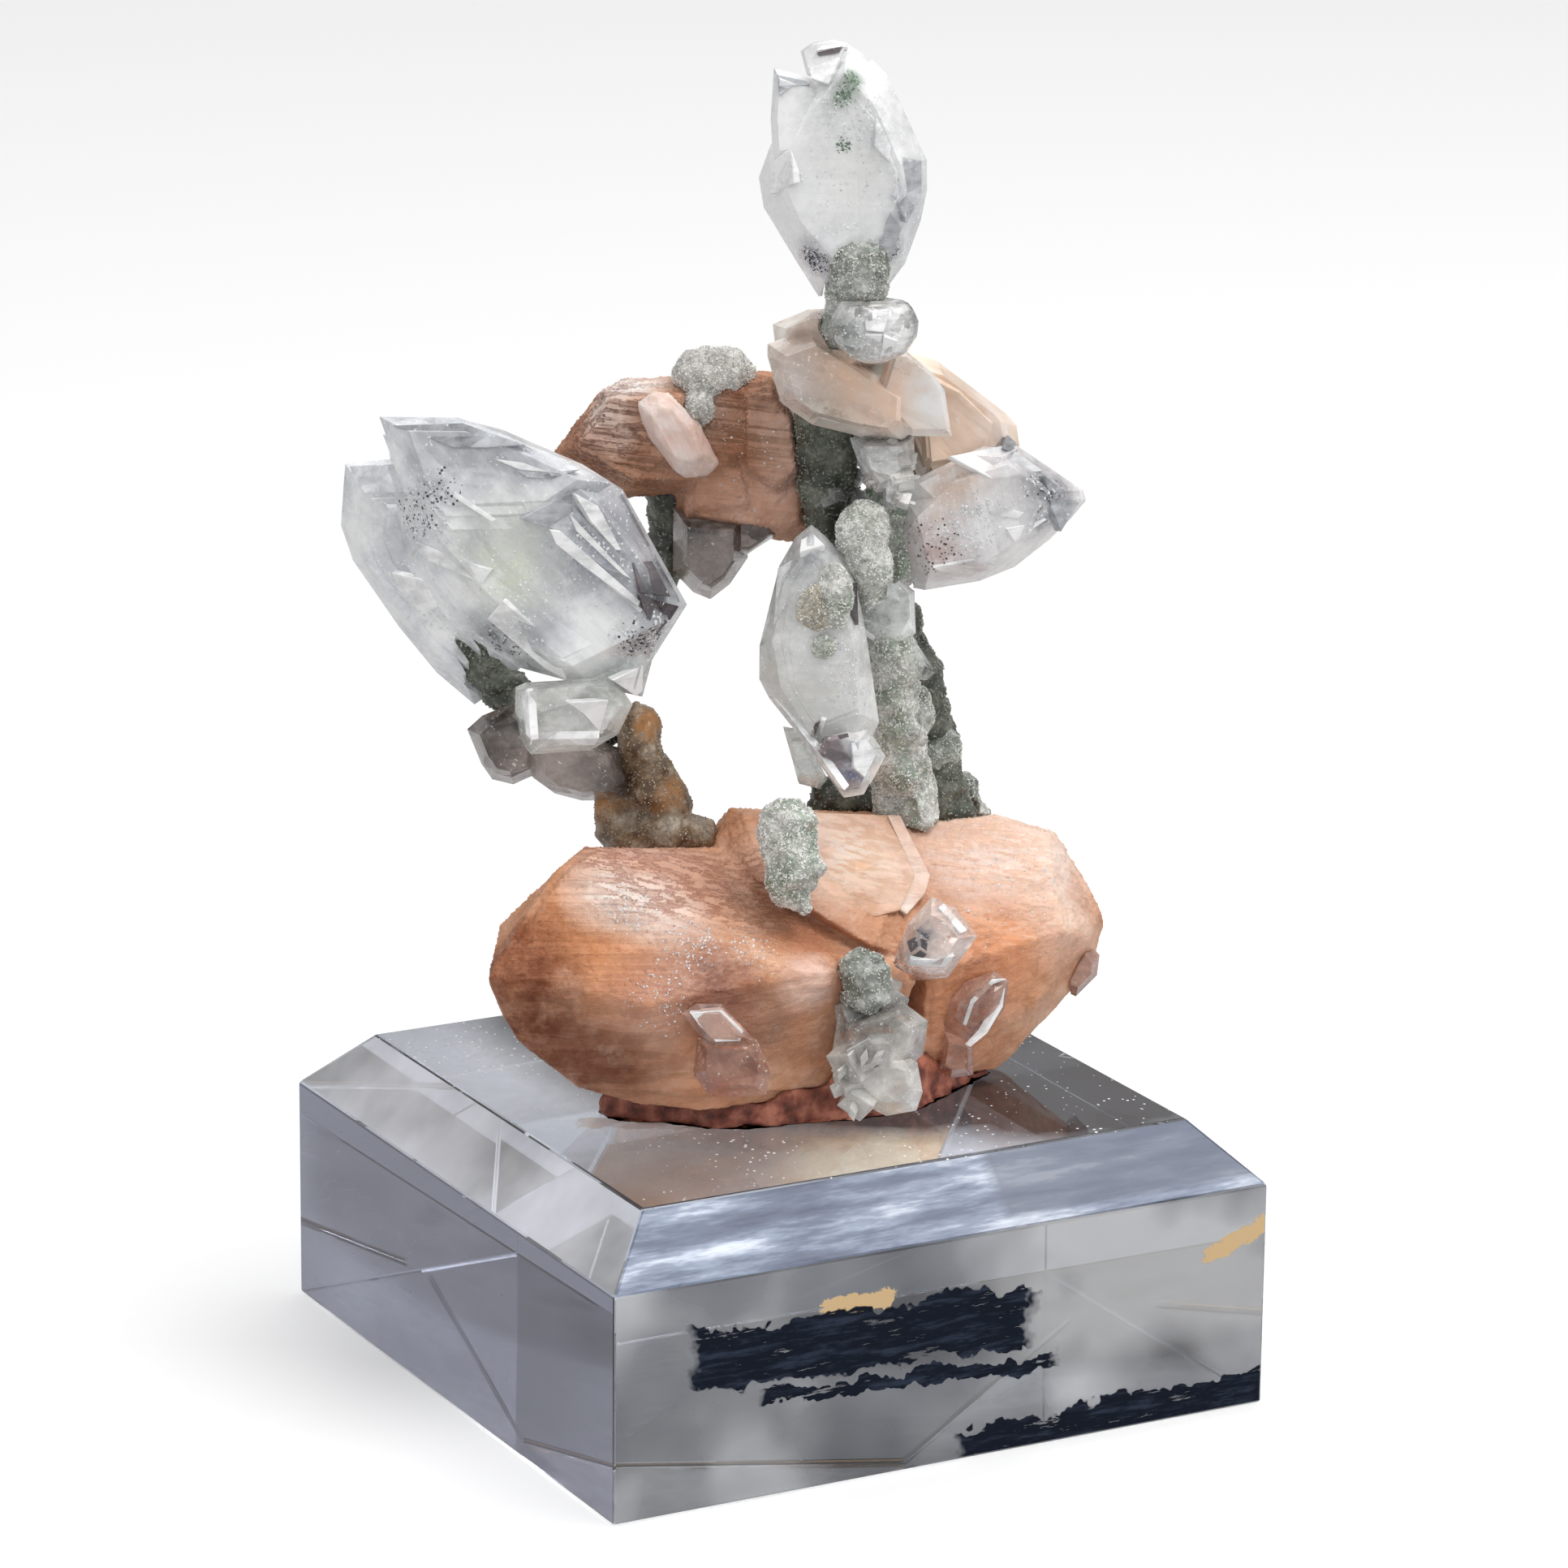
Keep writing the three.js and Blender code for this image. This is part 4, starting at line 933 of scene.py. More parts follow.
def tilted(tree, cells, share):
    """A normal that leans another way in each cell, so that each catches the light by itself."""
    middle = (0.5, 0.5, 0.5)
    lean = put(tree, "ShaderNodeVectorMath", cells.outputs["Color"], middle, operation="SUBTRACT")
    lean = put(tree, "ShaderNodeVectorMath", lean, operation="SCALE")
    lean.inputs["Scale"].default_value = share
    straight = put(tree, "ShaderNodeNewGeometry").outputs["Normal"]
    both = put(tree, "ShaderNodeVectorMath", straight, lean, operation="ADD")
    return put(tree, "ShaderNodeVectorMath", both, operation="NORMALIZE").outputs[0]


def stilbite_material(name, light, middle, deep, zones=(), lines=(), turn=(0, 0, 0), depth=0.0013):
    """Three shades in clouds, with tinted zones, zones of dark lines, and pearly plates."""
    material, tree, shader = new_material(name)
    coords = object_coords(tree)
    clouds = noise(tree, coords, 140.0, 5.0, 0.62)
    colour = colour_ramp(tree, clouds, (0.34, deep), (0.5, middle), (0.66, light))
    torn = ramp_up(tree, noise(tree, coords, 330.0, 6.0, 0.7), 0.32, 0.6, 0.4, 1.0)
    for centre, radius, soft, tint in zones:
        mask = multiply(tree, ball_mask(tree, coords, spot(*centre), radius, soft), torn)
        colour = mix_colour(tree, mask, colour, tint)
    streaks = noise(tree, along(tree, coords, turn, 0.02), 1500.0, 5.0, 0.6)
    plates = cells_of(tree, along(tree, coords, turn, 0.05), 620.0)
    lot = put(tree, "ShaderNodeSeparateColor", plates.outputs["Color"]).outputs[0]
    lighter = mix_colour(tree, 1.0, colour, (1.4, 1.4, 1.4), "MULTIPLY")
    lighter = mix_colour(tree, 0.18, lighter, light)
    colour = mix_colour(tree, ramp_up(tree, lot, 0.55, 0.75, 0.0, 0.4), colour, lighter)
    dark_lines = ramp_up(tree, streaks, 0.46, 0.53, 0.0, 0.85)
    for centre, radius, soft, tint in lines:
        mask = multiply(tree, ball_mask(tree, coords, spot(*centre), radius, soft), dark_lines)
        colour = mix_colour(tree, mask, colour, tint)
    colour = mix_colour(tree, ramp_up(tree, streaks, 0.54, 0.62, 0.0, 0.4), colour, lighter)
    veils = noise(tree, coords, 600.0, 6.0, 0.75)
    patches = ramp_up(tree, noise(tree, coords, 190.0), 0.5, 0.66)
    frost = multiply(tree, patches, ramp_up(tree, veils, 0.48, 0.6, 0.0, 0.4))
    colour = mix_colour(tree, frost, colour, mix_colour(tree, 0.35, lighter, (0.95, 0.87, 0.82)))
    relief = calculate(tree, "ADD", streaks, veils)
    add_bump(tree, shader, relief, 0.85, 0.4, tilted(tree, plates, 0.16))
    fill(tree, shader, {
        "Base Color": colour,
        "Roughness": ramp_up(tree, veils, 0.3, 0.7, 0.55, 0.22),
        "Subsurface Weight": 0.28,
        "Subsurface Radius": (1.0, 0.5, 0.28),
        "Subsurface Scale": depth,
        "Specular IOR Level": 0.4,
        "Specular Tint": (1.0, 0.72, 0.55, 1),
        "Coat Weight": 0.14,
        "Coat Roughness": 0.1,
    })
    return material


# %% [markdown]
# The lower sheaf is dark orange at its left end, where it is thickest, and painted darker there
# as shade. It is pale along its upper edge, its right lobe is painted paler as light, and the
# cleft between its lobes is painted deep brown as shade.

# %% Peach colours
def leaning(degrees):
    """The turn of a crystal that leans to the right by so many degrees."""
    return (0, math.radians(degrees), SPECIMEN_TURN)


SHEAF_TURN = leaning(0)
PALE = (0.93, 0.83, 0.76)
# Zones of the sheaf's own colour, of painted shade and of painted light.
SHEAF_TONE_LIGHT_AND_SHADE_ZONES = [
    ((-13, 56.7, -11.6), 6.0, 3.0, (0.7, 0.44, 0.35)),
    ((-4.6, 54.4, -9.5), 5.5, 3.0, (0.62, 0.36, 0.26)),
    # Painted shade as well as the thick end's own colour: dark zones at the left end and low on its
    # front.
    ((-21.1, 52.2, -20.1), 6.0, 3.5, (0.62, 0.26, 0.11)),
    ((-26.6, 50.0, -21.4), 5.8, 3.0, (0.25, 0.065, 0.02)),
    ((-25.1, 43.5, -23.3), 6.0, 3.0, (0.15, 0.034, 0.011)),
    ((-20.0, 39.8, -24.0), 5.0, 3.0, (0.15, 0.036, 0.012)),
    ((-15.5, 39.8, -24.6), 4.5, 3.0, (0.18, 0.05, 0.02)),
    ((-17.5, 55.4, -16.8), 3.0, 2.4, PALE),
    ((-13.5, 54.2, -16.8), 3.4, 2.4, PALE),
    ((-10.4, 53.4, -17.8), 3.2, 2.4, (0.9, 0.72, 0.64)),
    # Painted shade: darker zones low in the middle, towards the cleft between the lobes.
    ((-6.9, 48.6, -22.2), 4.2, 3.0, (0.34, 0.155, 0.11)),
    ((-5, 43.6, -22.2), 4.4, 3.0, (0.2, 0.08, 0.055)),
    ((-12, 46.5, -24.8), 3.6, 3.0, (0.5, 0.26, 0.19)),
    ((3.8, 49.8, -11.5), 5.5, 3.0, (0.42, 0.17, 0.09)),
    ((8.9, 50.6, -8.3), 3.6, 2.5, (0.58, 0.28, 0.16)),
    ((-0.3, 42, -19.9), 3.6, 3.0, (0.36, 0.19, 0.13)),
    # Painted light: the pale zones on the right lobe.
    ((22, 55, 4.5), 7.5, 3.0, (0.93, 0.72, 0.63)),
    ((24.6, 45, -4.0), 5.0, 3.0, (0.84, 0.36, 0.18)),
    ((30.4, 48.5, 3.1), 5.0, 3.0, (0.9, 0.66, 0.54)),
    ((29.7, 53.8, 6.3), 5.0, 2.6, (0.93, 0.74, 0.65)),
    ((8, 41.9, -14.3), 4.0, 3.4, (0.42, 0.2, 0.13)),
    ((20, 41, -6), 5.6, 3.0, (0.6, 0.25, 0.13)),
    ((5, 57, -7), 5.0, 3.0, (0.97, 0.74, 0.6)),
    ((3.5, 46.5, -18), 3.0, 1.2, (0.78, 0.54, 0.45)),
    ((-5, 45, -22.5), 2.6, 2.0, (0.3, 0.13, 0.09)),
]
SHEAF_LINES = [
    ((-13, 56.7, -11.6), 8.5, 2.0, (0.36, 0.16, 0.11)),
    ((-2.6, 53.4, -10.5), 6.5, 2.0, (0.36, 0.16, 0.1)),
    ((21, 54, 3), 8.0, 3.0, (0.8, 0.5, 0.36)),
]
peach = stilbite_material(
    "peach stilbite", (0.8, 0.49, 0.34), (0.66, 0.33, 0.19), (0.52, 0.21, 0.1),
    SHEAF_TONE_LIGHT_AND_SHADE_ZONES, SHEAF_LINES, SHEAF_TURN)
# Painted light: a paler peach for the tablet's side, the face that catches more light.
lit_side_peach = stilbite_material(
    "pale peach plates", (0.95, 0.82, 0.75), (0.86, 0.66, 0.56), (0.74, 0.5, 0.4), turn=SHEAF_TURN)
rose = stilbite_material(
    "rose stilbite", (0.94, 0.82, 0.78), (0.88, 0.66, 0.58), (0.76, 0.5, 0.42),
    turn=leaning(60))
print("peach zones:", len(SHEAF_TONE_LIGHT_AND_SHADE_ZONES))

# %% [markdown]
# The larger ridges are real, so that they break the outline. Each corner moves along its
# normal by a saw-tooth wave that runs along the sheaf. Four such waves are added, each finer
# and weaker than the one before, and a slow drift keeps them from being ruler straight.

# %% Ridges by hand
def ridges(piece, line, height, pitch, seed, top_only):
    """Ridges along a line. Below top_only, a share of the normal's height, they are shallow."""
    corners = shape_of(piece)[0] / MM
    normals = np.zeros(corners.size)
    piece.data.vertices.foreach_get("normal", normals)
    normals = normals.reshape(-1, 3)
    along_line = np.array(line)
    across = unit(np.cross(along_line, normals + 1e-6))
    distance = (corners * across).sum(1)
    run = corners @ along_line
    random = np.random.default_rng(seed)
    lift = np.zeros(len(corners))
    for octave in range(4):
        period = pitch / 1.8**octave
        phase = random.uniform(0, 6.28)
        drift = 1.2 * np.sin(run / (9.0 / 1.3**octave) + phase) + 0.04 * run
        wave = (distance / period + drift / 3 + phase) % 1.0
        lift += np.where(wave < 0.8, wave / 0.8, (1 - wave) / 0.2) / 1.6**octave
    share = np.clip((normals[:, 2] - top_only) / 0.4, 0.25, 1) if top_only is not None else 1
    move = (lift / 2.2 - 0.5) * height * share
    set_corners(piece, (corners + normals * move[:, None]) * MM)


lobe_texture = bump_texture("lobes", "CLOUDS", 9.0, 2)
pebble_texture = bump_texture("pebbles", "CLOUDS", 1.8, 3)
SHEAF_LINE = direction(1, 0, 0)
RIDGE_SEED = 3
LOBE_HEIGHT = 0.3
PEBBLE_HEIGHT = 0.28


def stilbite(node, name, material, slot_name, voxel, ridge, swell=0.15, top_only=0.0, rounds=0):
    """A sheaf from its CAD node. A ridge is its height and its pitch in mm."""
    piece = copy_of(node, name)
    swell_by(piece, swell)
    remesh(piece, voxel, rounds)
    displace(piece, lobe_texture, LOBE_HEIGHT)
    displace(piece, pebble_texture, PEBBLE_HEIGHT)
    ridges(piece, SHEAF_LINE, *ridge, RIDGE_SEED, top_only)
    smooth_shading(piece)
    piece.data.materials.append(material)
    finish_piece(piece, slot_name, node)
    return piece


lower = stilbite("lower_stilbite", "lower_sheaf", peach, "stilbite", 0.3, (0.42, 1.25))
stilbite("small_pink_stilbite", "small_pink_blade", rose, "pale_stilbite", 0.22, (0.12, 0.8))

# %% [markdown]
# ## Putty
#
# A pat of red-brown putty holds the lowest sheaf. It was pressed by hand: its top is rough and
# torn, and its rim is smeared thin over the acrylic.

# %% Putty
def putty_material():
    material, tree, shader = new_material("red brown putty")
    coords = object_coords(tree)
    tone = colour_ramp(
        tree, noise(tree, coords, 500.0, 5.0),
        (0.36, (0.11, 0.026, 0.014)), (0.5, (0.28, 0.075, 0.043)), (0.64, (0.5, 0.18, 0.11)),
    )
    fill(tree, shader, {"Base Color": tone, "Roughness": 0.6, "Coat Weight": 0.15})
    add_bump(tree, shader, noise(tree, coords, 1500.0, 4.0), 0.6, 0.3)
    return material


def press_down(piece, above):
    """No corner lies lower than this many mm above the block's top."""
    corners = shape_of(piece)[0]
    corners[:, 2] = np.maximum(corners[:, 2], BLOCK_TOP + above * MM)
    set_corners(piece, corners)


putty_texture = bump_texture("pressed putty", "CLOUDS", 1.5, 3)
clay_texture = bump_texture("torn clay", "VORONOI", 3.4)
putty = copy_of("mounting_putty", "pressed_putty")
swell_by(putty, 0.5)
remesh(putty, 0.4, 6)
displace(putty, clay_texture, -1.4, 0.4)
displace(putty, putty_texture, 0.7)
press_down(putty, 0.02)
smooth_shading(putty)
print("putty:", len(putty.data.polygons), "faces")

# %% Smear round the putty
smear = copy_of("mounting_putty", "putty_smear")
middle = sum(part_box("mounting_putty"), Vector()) / 2
edit(smear, lambda: bpy.ops.transform.resize(value=(1.035, 1.06, 0.3), center_override=middle))
remesh(smear, 0.3)
drop = BLOCK_TOP + 0.1 * MM - middle.z
edit(smear, lambda: bpy.ops.transform.translate(value=(0, 0, drop)))
displace(smear, putty_texture, 0.9)
press_down(smear, 0.01)
clay = putty_material()
for piece in (putty, smear):
    piece.data.materials.append(clay)
join_to(putty, smear)
finish_piece(putty, "putty", "mounting_putty")

# %% [markdown]
# ## Apophyllite crystals
#
# Apophyllite is clear, with flat bright faces. Inside are milky veils, and dark or green
# inclusions. The share of milk in each place decides how much light passes: where there is
# little, the crystal transmits and bends light, and where there is much, it scatters it.
#
# A zone is a ball again, with its tint and its share of milk. Cells stretched along the
# crystal give flat patches that lean, as the growth steps on a real face do, and some patches
# are painted lighter and some darker, as steps that catch the light or miss it.

# %% Crystal material
def blend_value(tree, factor, first, second):
    node = put(tree, "ShaderNodeMix", data_type="FLOAT")
    feed(tree, node.inputs["Factor"], factor)
    feed(tree, node.inputs[2], first)
    feed(tree, node.inputs[3], second)
    return node.outputs[0]


def crystal_material(name, tone, milk, zones=(), turn=(0, 0, 0), deep=None, rough=(0.02, 0.25),
                     density=40.0, absorb_tint=(0.82, 0.86, 0.85), cells=(520.0, 0.22),
                     stretch=0.12, contrast=0.4, grain=1.0):
    """Clear crystal with milk in it. Cells are their scale and how far their normals lean."""
    material, tree, shader = new_material(name)
    coords = object_coords(tree)
    clouds = noise(tree, coords, 120.0, 5.0, 0.62)
    streaks = noise(tree, along(tree, coords, turn, 0.05), 900.0, 4.0, 0.66)
    layers = cells_of(tree, along(tree, coords, turn, stretch), cells[0])
    lot = put(tree, "ShaderNodeSeparateColor", layers.outputs["Color"])
    torn = noise(tree, coords, 420.0, 4.0, 0.7)
    dim = deep or tuple(0.7 * c for c in tone)
    bright = tuple(min(1.0, 1.15 * c) for c in tone)
    colour = colour_ramp(tree, clouds, (0.36, dim), (0.5, tone), (0.62, bright))
    veil = ramp_up(tree, clouds, 0.36, 0.64, milk - 0.3, milk + 0.22)
    broken = ramp_up(tree, torn, 0.4, 0.56, 0.45, 1.0)
    for centre, radius, soft, tint, share in zones:
        mask = multiply(tree, ball_mask(tree, coords, spot(*centre), radius, soft), broken)
        colour = mix_colour(tree, mask, colour, tint)
        veil = blend_value(tree, mask, veil, share)
    # Painted flashes: some cells are lighter and some darker, as steps that catch the light or miss it.
    colour = mix_colour(tree, ramp_up(tree, lot.outputs[0], 0.62, 0.7, 0.0, contrast), colour, bright)
    colour = mix_colour(tree, ramp_up(tree, lot.outputs[1], 0.74, 0.8, 0.0, 0.6 * contrast), colour, dim)
    dust = ramp_up(tree, noise(tree, coords, 2400.0, 3.0, 0.7), 0.6, 0.66, 0.0, 0.75)
    dust = multiply(tree, dust, ramp_up(tree, torn, 0.48, 0.6))
    colour = mix_colour(tree, dust, colour, (0.98, 0.98, 0.98))
    by_streak = ramp_up(tree, streaks, 0.4, 0.62, -0.14 * grain, 0.14 * grain)
    by_cell = ramp_up(tree, lot.outputs[2], 0.3, 0.7, -0.3 * contrast, 0.3 * contrast)
    veil = chain(tree, "ADD", (by_streak, by_cell, veil))
    veil = put(tree, "ShaderNodeMath", veil, dust, operation="ADD", use_clamp=True)
    fill(tree, shader, {
        "Base Color": colour,
        "Transmission Weight": calculate(tree, "SUBTRACT", 1.0, veil),
        "Roughness": ramp_up(tree, veil, 0.2, 0.9, *rough),
        "IOR": 1.535,
        "Subsurface Weight": 0.25,
        "Subsurface Radius": (1.0, 1.0, 1.0),
        "Subsurface Scale": 0.001,
        "Coat Weight": 0.6,
        "Coat Roughness": 0.03,
    })
    add_bump(tree, shader, streaks, 0.4 * grain, 0.1, tilted(tree, layers, cells[1]))
    add_absorption(tree, absorb_tint, density)
    return material


# %% [markdown]
# The four large crystals each have their own map of zones, read from the photograph: grey
# faces in the fan, which are painted reflections, dark specks and green inclusions at the tip
# of the top one, a painted violet glint low in the middle one, and the warm crystal behind that
# shows through the right one.

# %% Colours of the large crystals
WHITE = (0.96, 0.97, 1.0)
GREY_REFLECTION_TINT = (0.34, 0.36, 0.4)
DARK_REFLECTION_TINT = (0.1, 0.1, 0.12)
DEEP_GREEN = (0.05, 0.075, 0.05)
# Painted reflections: the grey zones and the dark facet zone in the fan.
FAN_ZONES = [
    ((-31.5, 100, -5), 4.6, 3.0, (0.58, 0.6, 0.65), 0.55),
    ((-26, 100, -5), 3.0, 2.5, (0.56, 0.58, 0.64), 0.5),
    ((-27, 88, -6), 4.5, 4.0, (0.72, 0.76, 0.6), 0.75),
    ((-18.5, 90, -6), 5.5, 2.5, (0.42, 0.43, 0.49), 0.45),
    ((-37, 84, -4), 3.5, 3.0, WHITE, 0.85),
    ((-12, 85, -6), 2.6, 1.5, DARK_REFLECTION_TINT, 0.4),
    ((-14, 79, -6), 2.2, 2.0, GREY_REFLECTION_TINT, 0.4),
    ((-30, 79, -5), 2.6, 2.2, DEEP_GREEN, 0.7),
    ((-26, 76, -5), 2.4, 2.0, DEEP_GREEN, 0.7),
    ((-39, 90, 0), 3.0, 2.5, (0.6, 0.62, 0.64), 0.6),
    ((-17, 76, -3), 2.4, 2.0, (0.3, 0.36, 0.32), 0.6),
]
TOP_ZONES = [
    ((7.3, 138.3, -6), 1.2, 1.0, (0.2, 0.3, 0.2), 0.8),
    ((6.2, 136.5, -6), 1.1, 0.9, (0.26, 0.34, 0.26), 0.8),
    ((3, 119, -5), 2.0, 1.3, (0.16, 0.16, 0.26), 0.4),
    ((11.6, 120, -5), 1.6, 1.2, (0.16, 0.17, 0.2), 0.4),
    ((13.6, 125.5, -4), 2.6, 2.5, (0.62, 0.63, 0.68), 0.6),
    ((-0.3, 127, -5), 3.0, 2.4, WHITE, 0.9),
    ((7.5, 129, -6), 3.5, 3.0, (0.93, 0.94, 0.91), 0.9),
]
MIDDLE_ZONES = [
    # Painted glint: a violet tint low on the middle crystal.
    ((7.4, 66.3, -7), 2.6, 1.5, (0.3, 0.31, 0.48), 0.4),
    ((3.2, 73.6, -6), 3.6, 3.0, (0.66, 0.66, 0.63), 0.8),
    ((4.8, 78.8, -6), 1.7, 1.4, WHITE, 0.95),
    ((3.5, 89, -6), 3.2, 2.2, (0.68, 0.7, 0.74), 0.35),
]
RIGHT_ZONES = [
    ((28.6, 94.5, 2), 3.2, 2.2, (0.26, 0.27, 0.31), 0.45),
    ((27.4, 90.2, 2), 1.8, 1.4, (0.3, 0.31, 0.36), 0.45),
    ((16, 88, 0), 3.8, 2.6, (0.6, 0.46, 0.43), 0.8),
    ((18.6, 94.7, 0), 2.8, 2.2, (0.8, 0.6, 0.48), 0.7),
    ((22, 91, 0), 3.0, 2.2, WHITE, 0.9),
]
fan_crystal = crystal_material(
    "fan apophyllite", (0.86, 0.87, 0.9), 0.72, FAN_ZONES, leaning(48),
    (0.62, 0.64, 0.69), contrast=0.2, cells=(480.0, 0.14), grain=0.5)
top_crystal = crystal_material(
    "top apophyllite", (0.96, 0.96, 0.97), 0.8, TOP_ZONES, SHEAF_TURN,
    (0.8, 0.8, 0.82), cells=(420.0, 0.06), contrast=0.08, stretch=0.5, grain=0.3)
middle_crystal = crystal_material(
    "middle apophyllite", (0.88, 0.88, 0.86), 0.7, MIDDLE_ZONES, SHEAF_TURN,
    (0.7, 0.7, 0.68), cells=(500.0, 0.06), contrast=0.08, stretch=0.5, grain=0.3)
right_crystal = crystal_material(
    "right apophyllite", (0.95, 0.92, 0.93), 0.78, RIGHT_ZONES, leaning(75),
    (0.78, 0.74, 0.75), cells=(420.0, 0.12), contrast=0.12, stretch=0.4, grain=0.5)
print("zones:", len(FAN_ZONES + TOP_ZONES + MIDDLE_ZONES + RIGHT_ZONES))

# %% Colours of the small crystals
clear_crystal = crystal_material(
    "clear apophyllite", (0.8, 0.82, 0.8), 0.45, density=15.0, cells=(420.0, 0.3), stretch=0.5)
milky_crystal = crystal_material("milky apophyllite", (0.94, 0.95, 0.95), 0.62, stretch=0.4)
grey_crystal = crystal_material(
    "grey apophyllite", (0.38, 0.32, 0.295), 0.5, deep=(0.1, 0.08, 0.07), cells=(380.0, 0.3), stretch=0.6)
gem_crystal = crystal_material(
    "gem apophyllite", (0.88, 0.88, 0.85), 0.5, [
        ((-23, 73.5, -6), 2.4, 1.6, DEEP_GREEN, 0.5),
        ((-18, 73.5, -6), 2.4, 1.6, (0.2, 0.25, 0.2), 0.5),
        ((-24.5, 69, -6), 1.6, 1.0, (0.9, 0.84, 0.78), 0.8),
        ((-17, 69, -6), 2.2, 1.4, (0.86, 0.88, 0.88), 0.75),
    ], density=20.0, cells=(420.0, 0.25), stretch=0.5)
heart_crystal = crystal_material(
    "grey hearted apophyllite", (0.78, 0.66, 0.61), 0.4,
    [((14.6, 49.9, -14.3), 2.0, 0.8, (0.06, 0.07, 0.1), 0.95)],
    density=10.0, cells=(420.0, 0.3), stretch=0.5)
frost_crystal = crystal_material(
    "frosted apophyllite", (0.82, 0.8, 0.76), 0.55,
    density=10.0, cells=(400.0, 0.12), stretch=0.8, contrast=0.2, grain=0.5)
warm_crystal = crystal_material(
    "apophyllite over peach", (0.58, 0.34, 0.26), 0.4, deep=(0.42, 0.21, 0.15),
    density=10.0, cells=(420.0, 0.15), stretch=0.7, contrast=0.25, grain=0.6)
ball_crystal = crystal_material(
    "round apophyllite", (0.93, 0.95, 0.94), 0.42, [
        # Painted highlight: the white middle of the round crystal.
        ((10.5, 114.2, -10), 2.2, 1.2, (1.0, 1.0, 1.0), 0.9),
        ((10.5, 111, -10.5), 2.6, 1.0, (1.0, 1.0, 1.0), 0.85),
        ((6.5, 112, -9), 1.8, 1.0, (0.4, 0.45, 0.4), 0.6),
    ], rough=(0.01, 0.1), density=8.0, cells=(800.0, 0.8), stretch=1.0)
print("materials so far:", len(bpy.data.materials))

# %% Colours of facets and flakes
# Painted highlights: white plates on faces and ledges that flash in the light.
highlight_facet = crystal_material(
    "white facet", (1.0, 1.0, 1.0), 0.92, deep=(0.9, 0.92, 0.95), rough=(0.03, 0.12), contrast=0.1)
facet_grey = crystal_material("grey facet", (0.5, 0.52, 0.55), 0.62, rough=(0.03, 0.15))
facet_pale = crystal_material("pale grey facet", (0.78, 0.79, 0.83), 0.7, rough=(0.03, 0.15))
facet_dark = crystal_material("dark facet", (0.17, 0.14, 0.155), 0.55, rough=(0.05, 0.15), density=10.0)
# Painted glint: the violet plate on the middle crystal's foot.
facet_violet = crystal_material(
    "violet facet", (0.42, 0.36, 0.38), 0.66, [((9.6, 64.6, -7), 1.6, 1.2, (0.28, 0.36, 0.72), 0.6)],
    rough=(0.03, 0.15))


def flake_material(name, colour, rough):
    material, tree, shader = new_material(name)
    grain = noise(tree, object_coords(tree), 3000.0, 2.0)
    tone = colour_ramp(tree, grain, (0.35, tuple(0.6 * c for c in colour)), (0.65, colour))
    fill(tree, shader, {"Base Color": tone, "Roughness": rough})
    return material


flake_white = flake_material("white flake", (0.95, 0.96, 0.98), 0.2)
flake_dark = flake_material("dark speck", (0.05, 0.05, 0.06), 0.35)
flake_green = flake_material("green speck", (0.2, 0.3, 0.2), 0.4)
print("materials so far:", len(bpy.data.materials))

# %% [markdown]
# Three more colours of stilbite. The upper left sheaf is brown-peach. The centre blades and
# the right one are thin and see-through, so they are made as the clear crystals are, with
# more milk and an amber tint.

# %% Colours of the upper stilbite
AMBER = (0.93, 0.78, 0.66)
BROWN_PEACH_ZONES = [
    ((-18.6, 100.6, 4.3), 3.2, 2.0, (0.95, 0.78, 0.7)),
    ((-15.5, 103.4, 8.2), 3.4, 1.6, (1.0, 0.9, 0.85)),
    ((-21, 96.3, 6.5), 3.0, 2.0, (0.4, 0.14, 0.06)),
    ((-5.1, 96.9, 4.7), 3.0, 2.4, (0.4, 0.18, 0.1)),
    ((-2.5, 90.6, 5.5), 4.0, 2.4, (0.84, 0.52, 0.4)),
    ((-9.3, 92.0, 6.4), 3.0, 2.0, (0.62, 0.34, 0.24)),
    ((0, 101, 4), 3.0, 2.0, (0.62, 0.42, 0.34)),
    ((1, 95, 4), 2.4, 2.0, (0.7, 0.48, 0.4)),
    ((-11, 98, 5), 2.6, 2.0, (0.7, 0.44, 0.34)),
    ((-8, 101, 5), 2.2, 2.0, (0.8, 0.6, 0.5)),
]
CREAM_ZONES = [
    ((5, 104.5, -5), 3.0, 2.2, (0.5, 0.42, 0.36), 0.7),
    ((1, 107, -5), 2.4, 2.0, (0.95, 0.84, 0.8), 0.7),
    ((8, 107.5, -5), 3.4, 2.4, (0.94, 0.62, 0.44), 0.85),
    ((11.5, 104.5, -5), 3.0, 2.0, (0.95, 0.66, 0.5), 0.85),
    ((16.5, 105, -4), 3.2, 1.6, (1.0, 0.99, 0.98), 0.8),
]
brown_peach = stilbite_material(
    "brown peach stilbite", (0.7, 0.42, 0.29), (0.52, 0.26, 0.155), (0.34, 0.14, 0.075),
    BROWN_PEACH_ZONES,
    [((-18, 99, 6), 7.0, 3.0, (0.14, 0.05, 0.028)), ((-4, 102, 5), 6.0, 3.0, (0.2, 0.09, 0.05))],
    leaning(6), 0.001)
cream = crystal_material(
    "cream stilbite", (0.96, 0.83, 0.75), 0.8, CREAM_ZONES, leaning(25),
    (0.9, 0.7, 0.58), (0.06, 0.35), 20.0, AMBER,
    cells=(300.0, 0.12), stretch=0.5, contrast=0.05, grain=0.5)
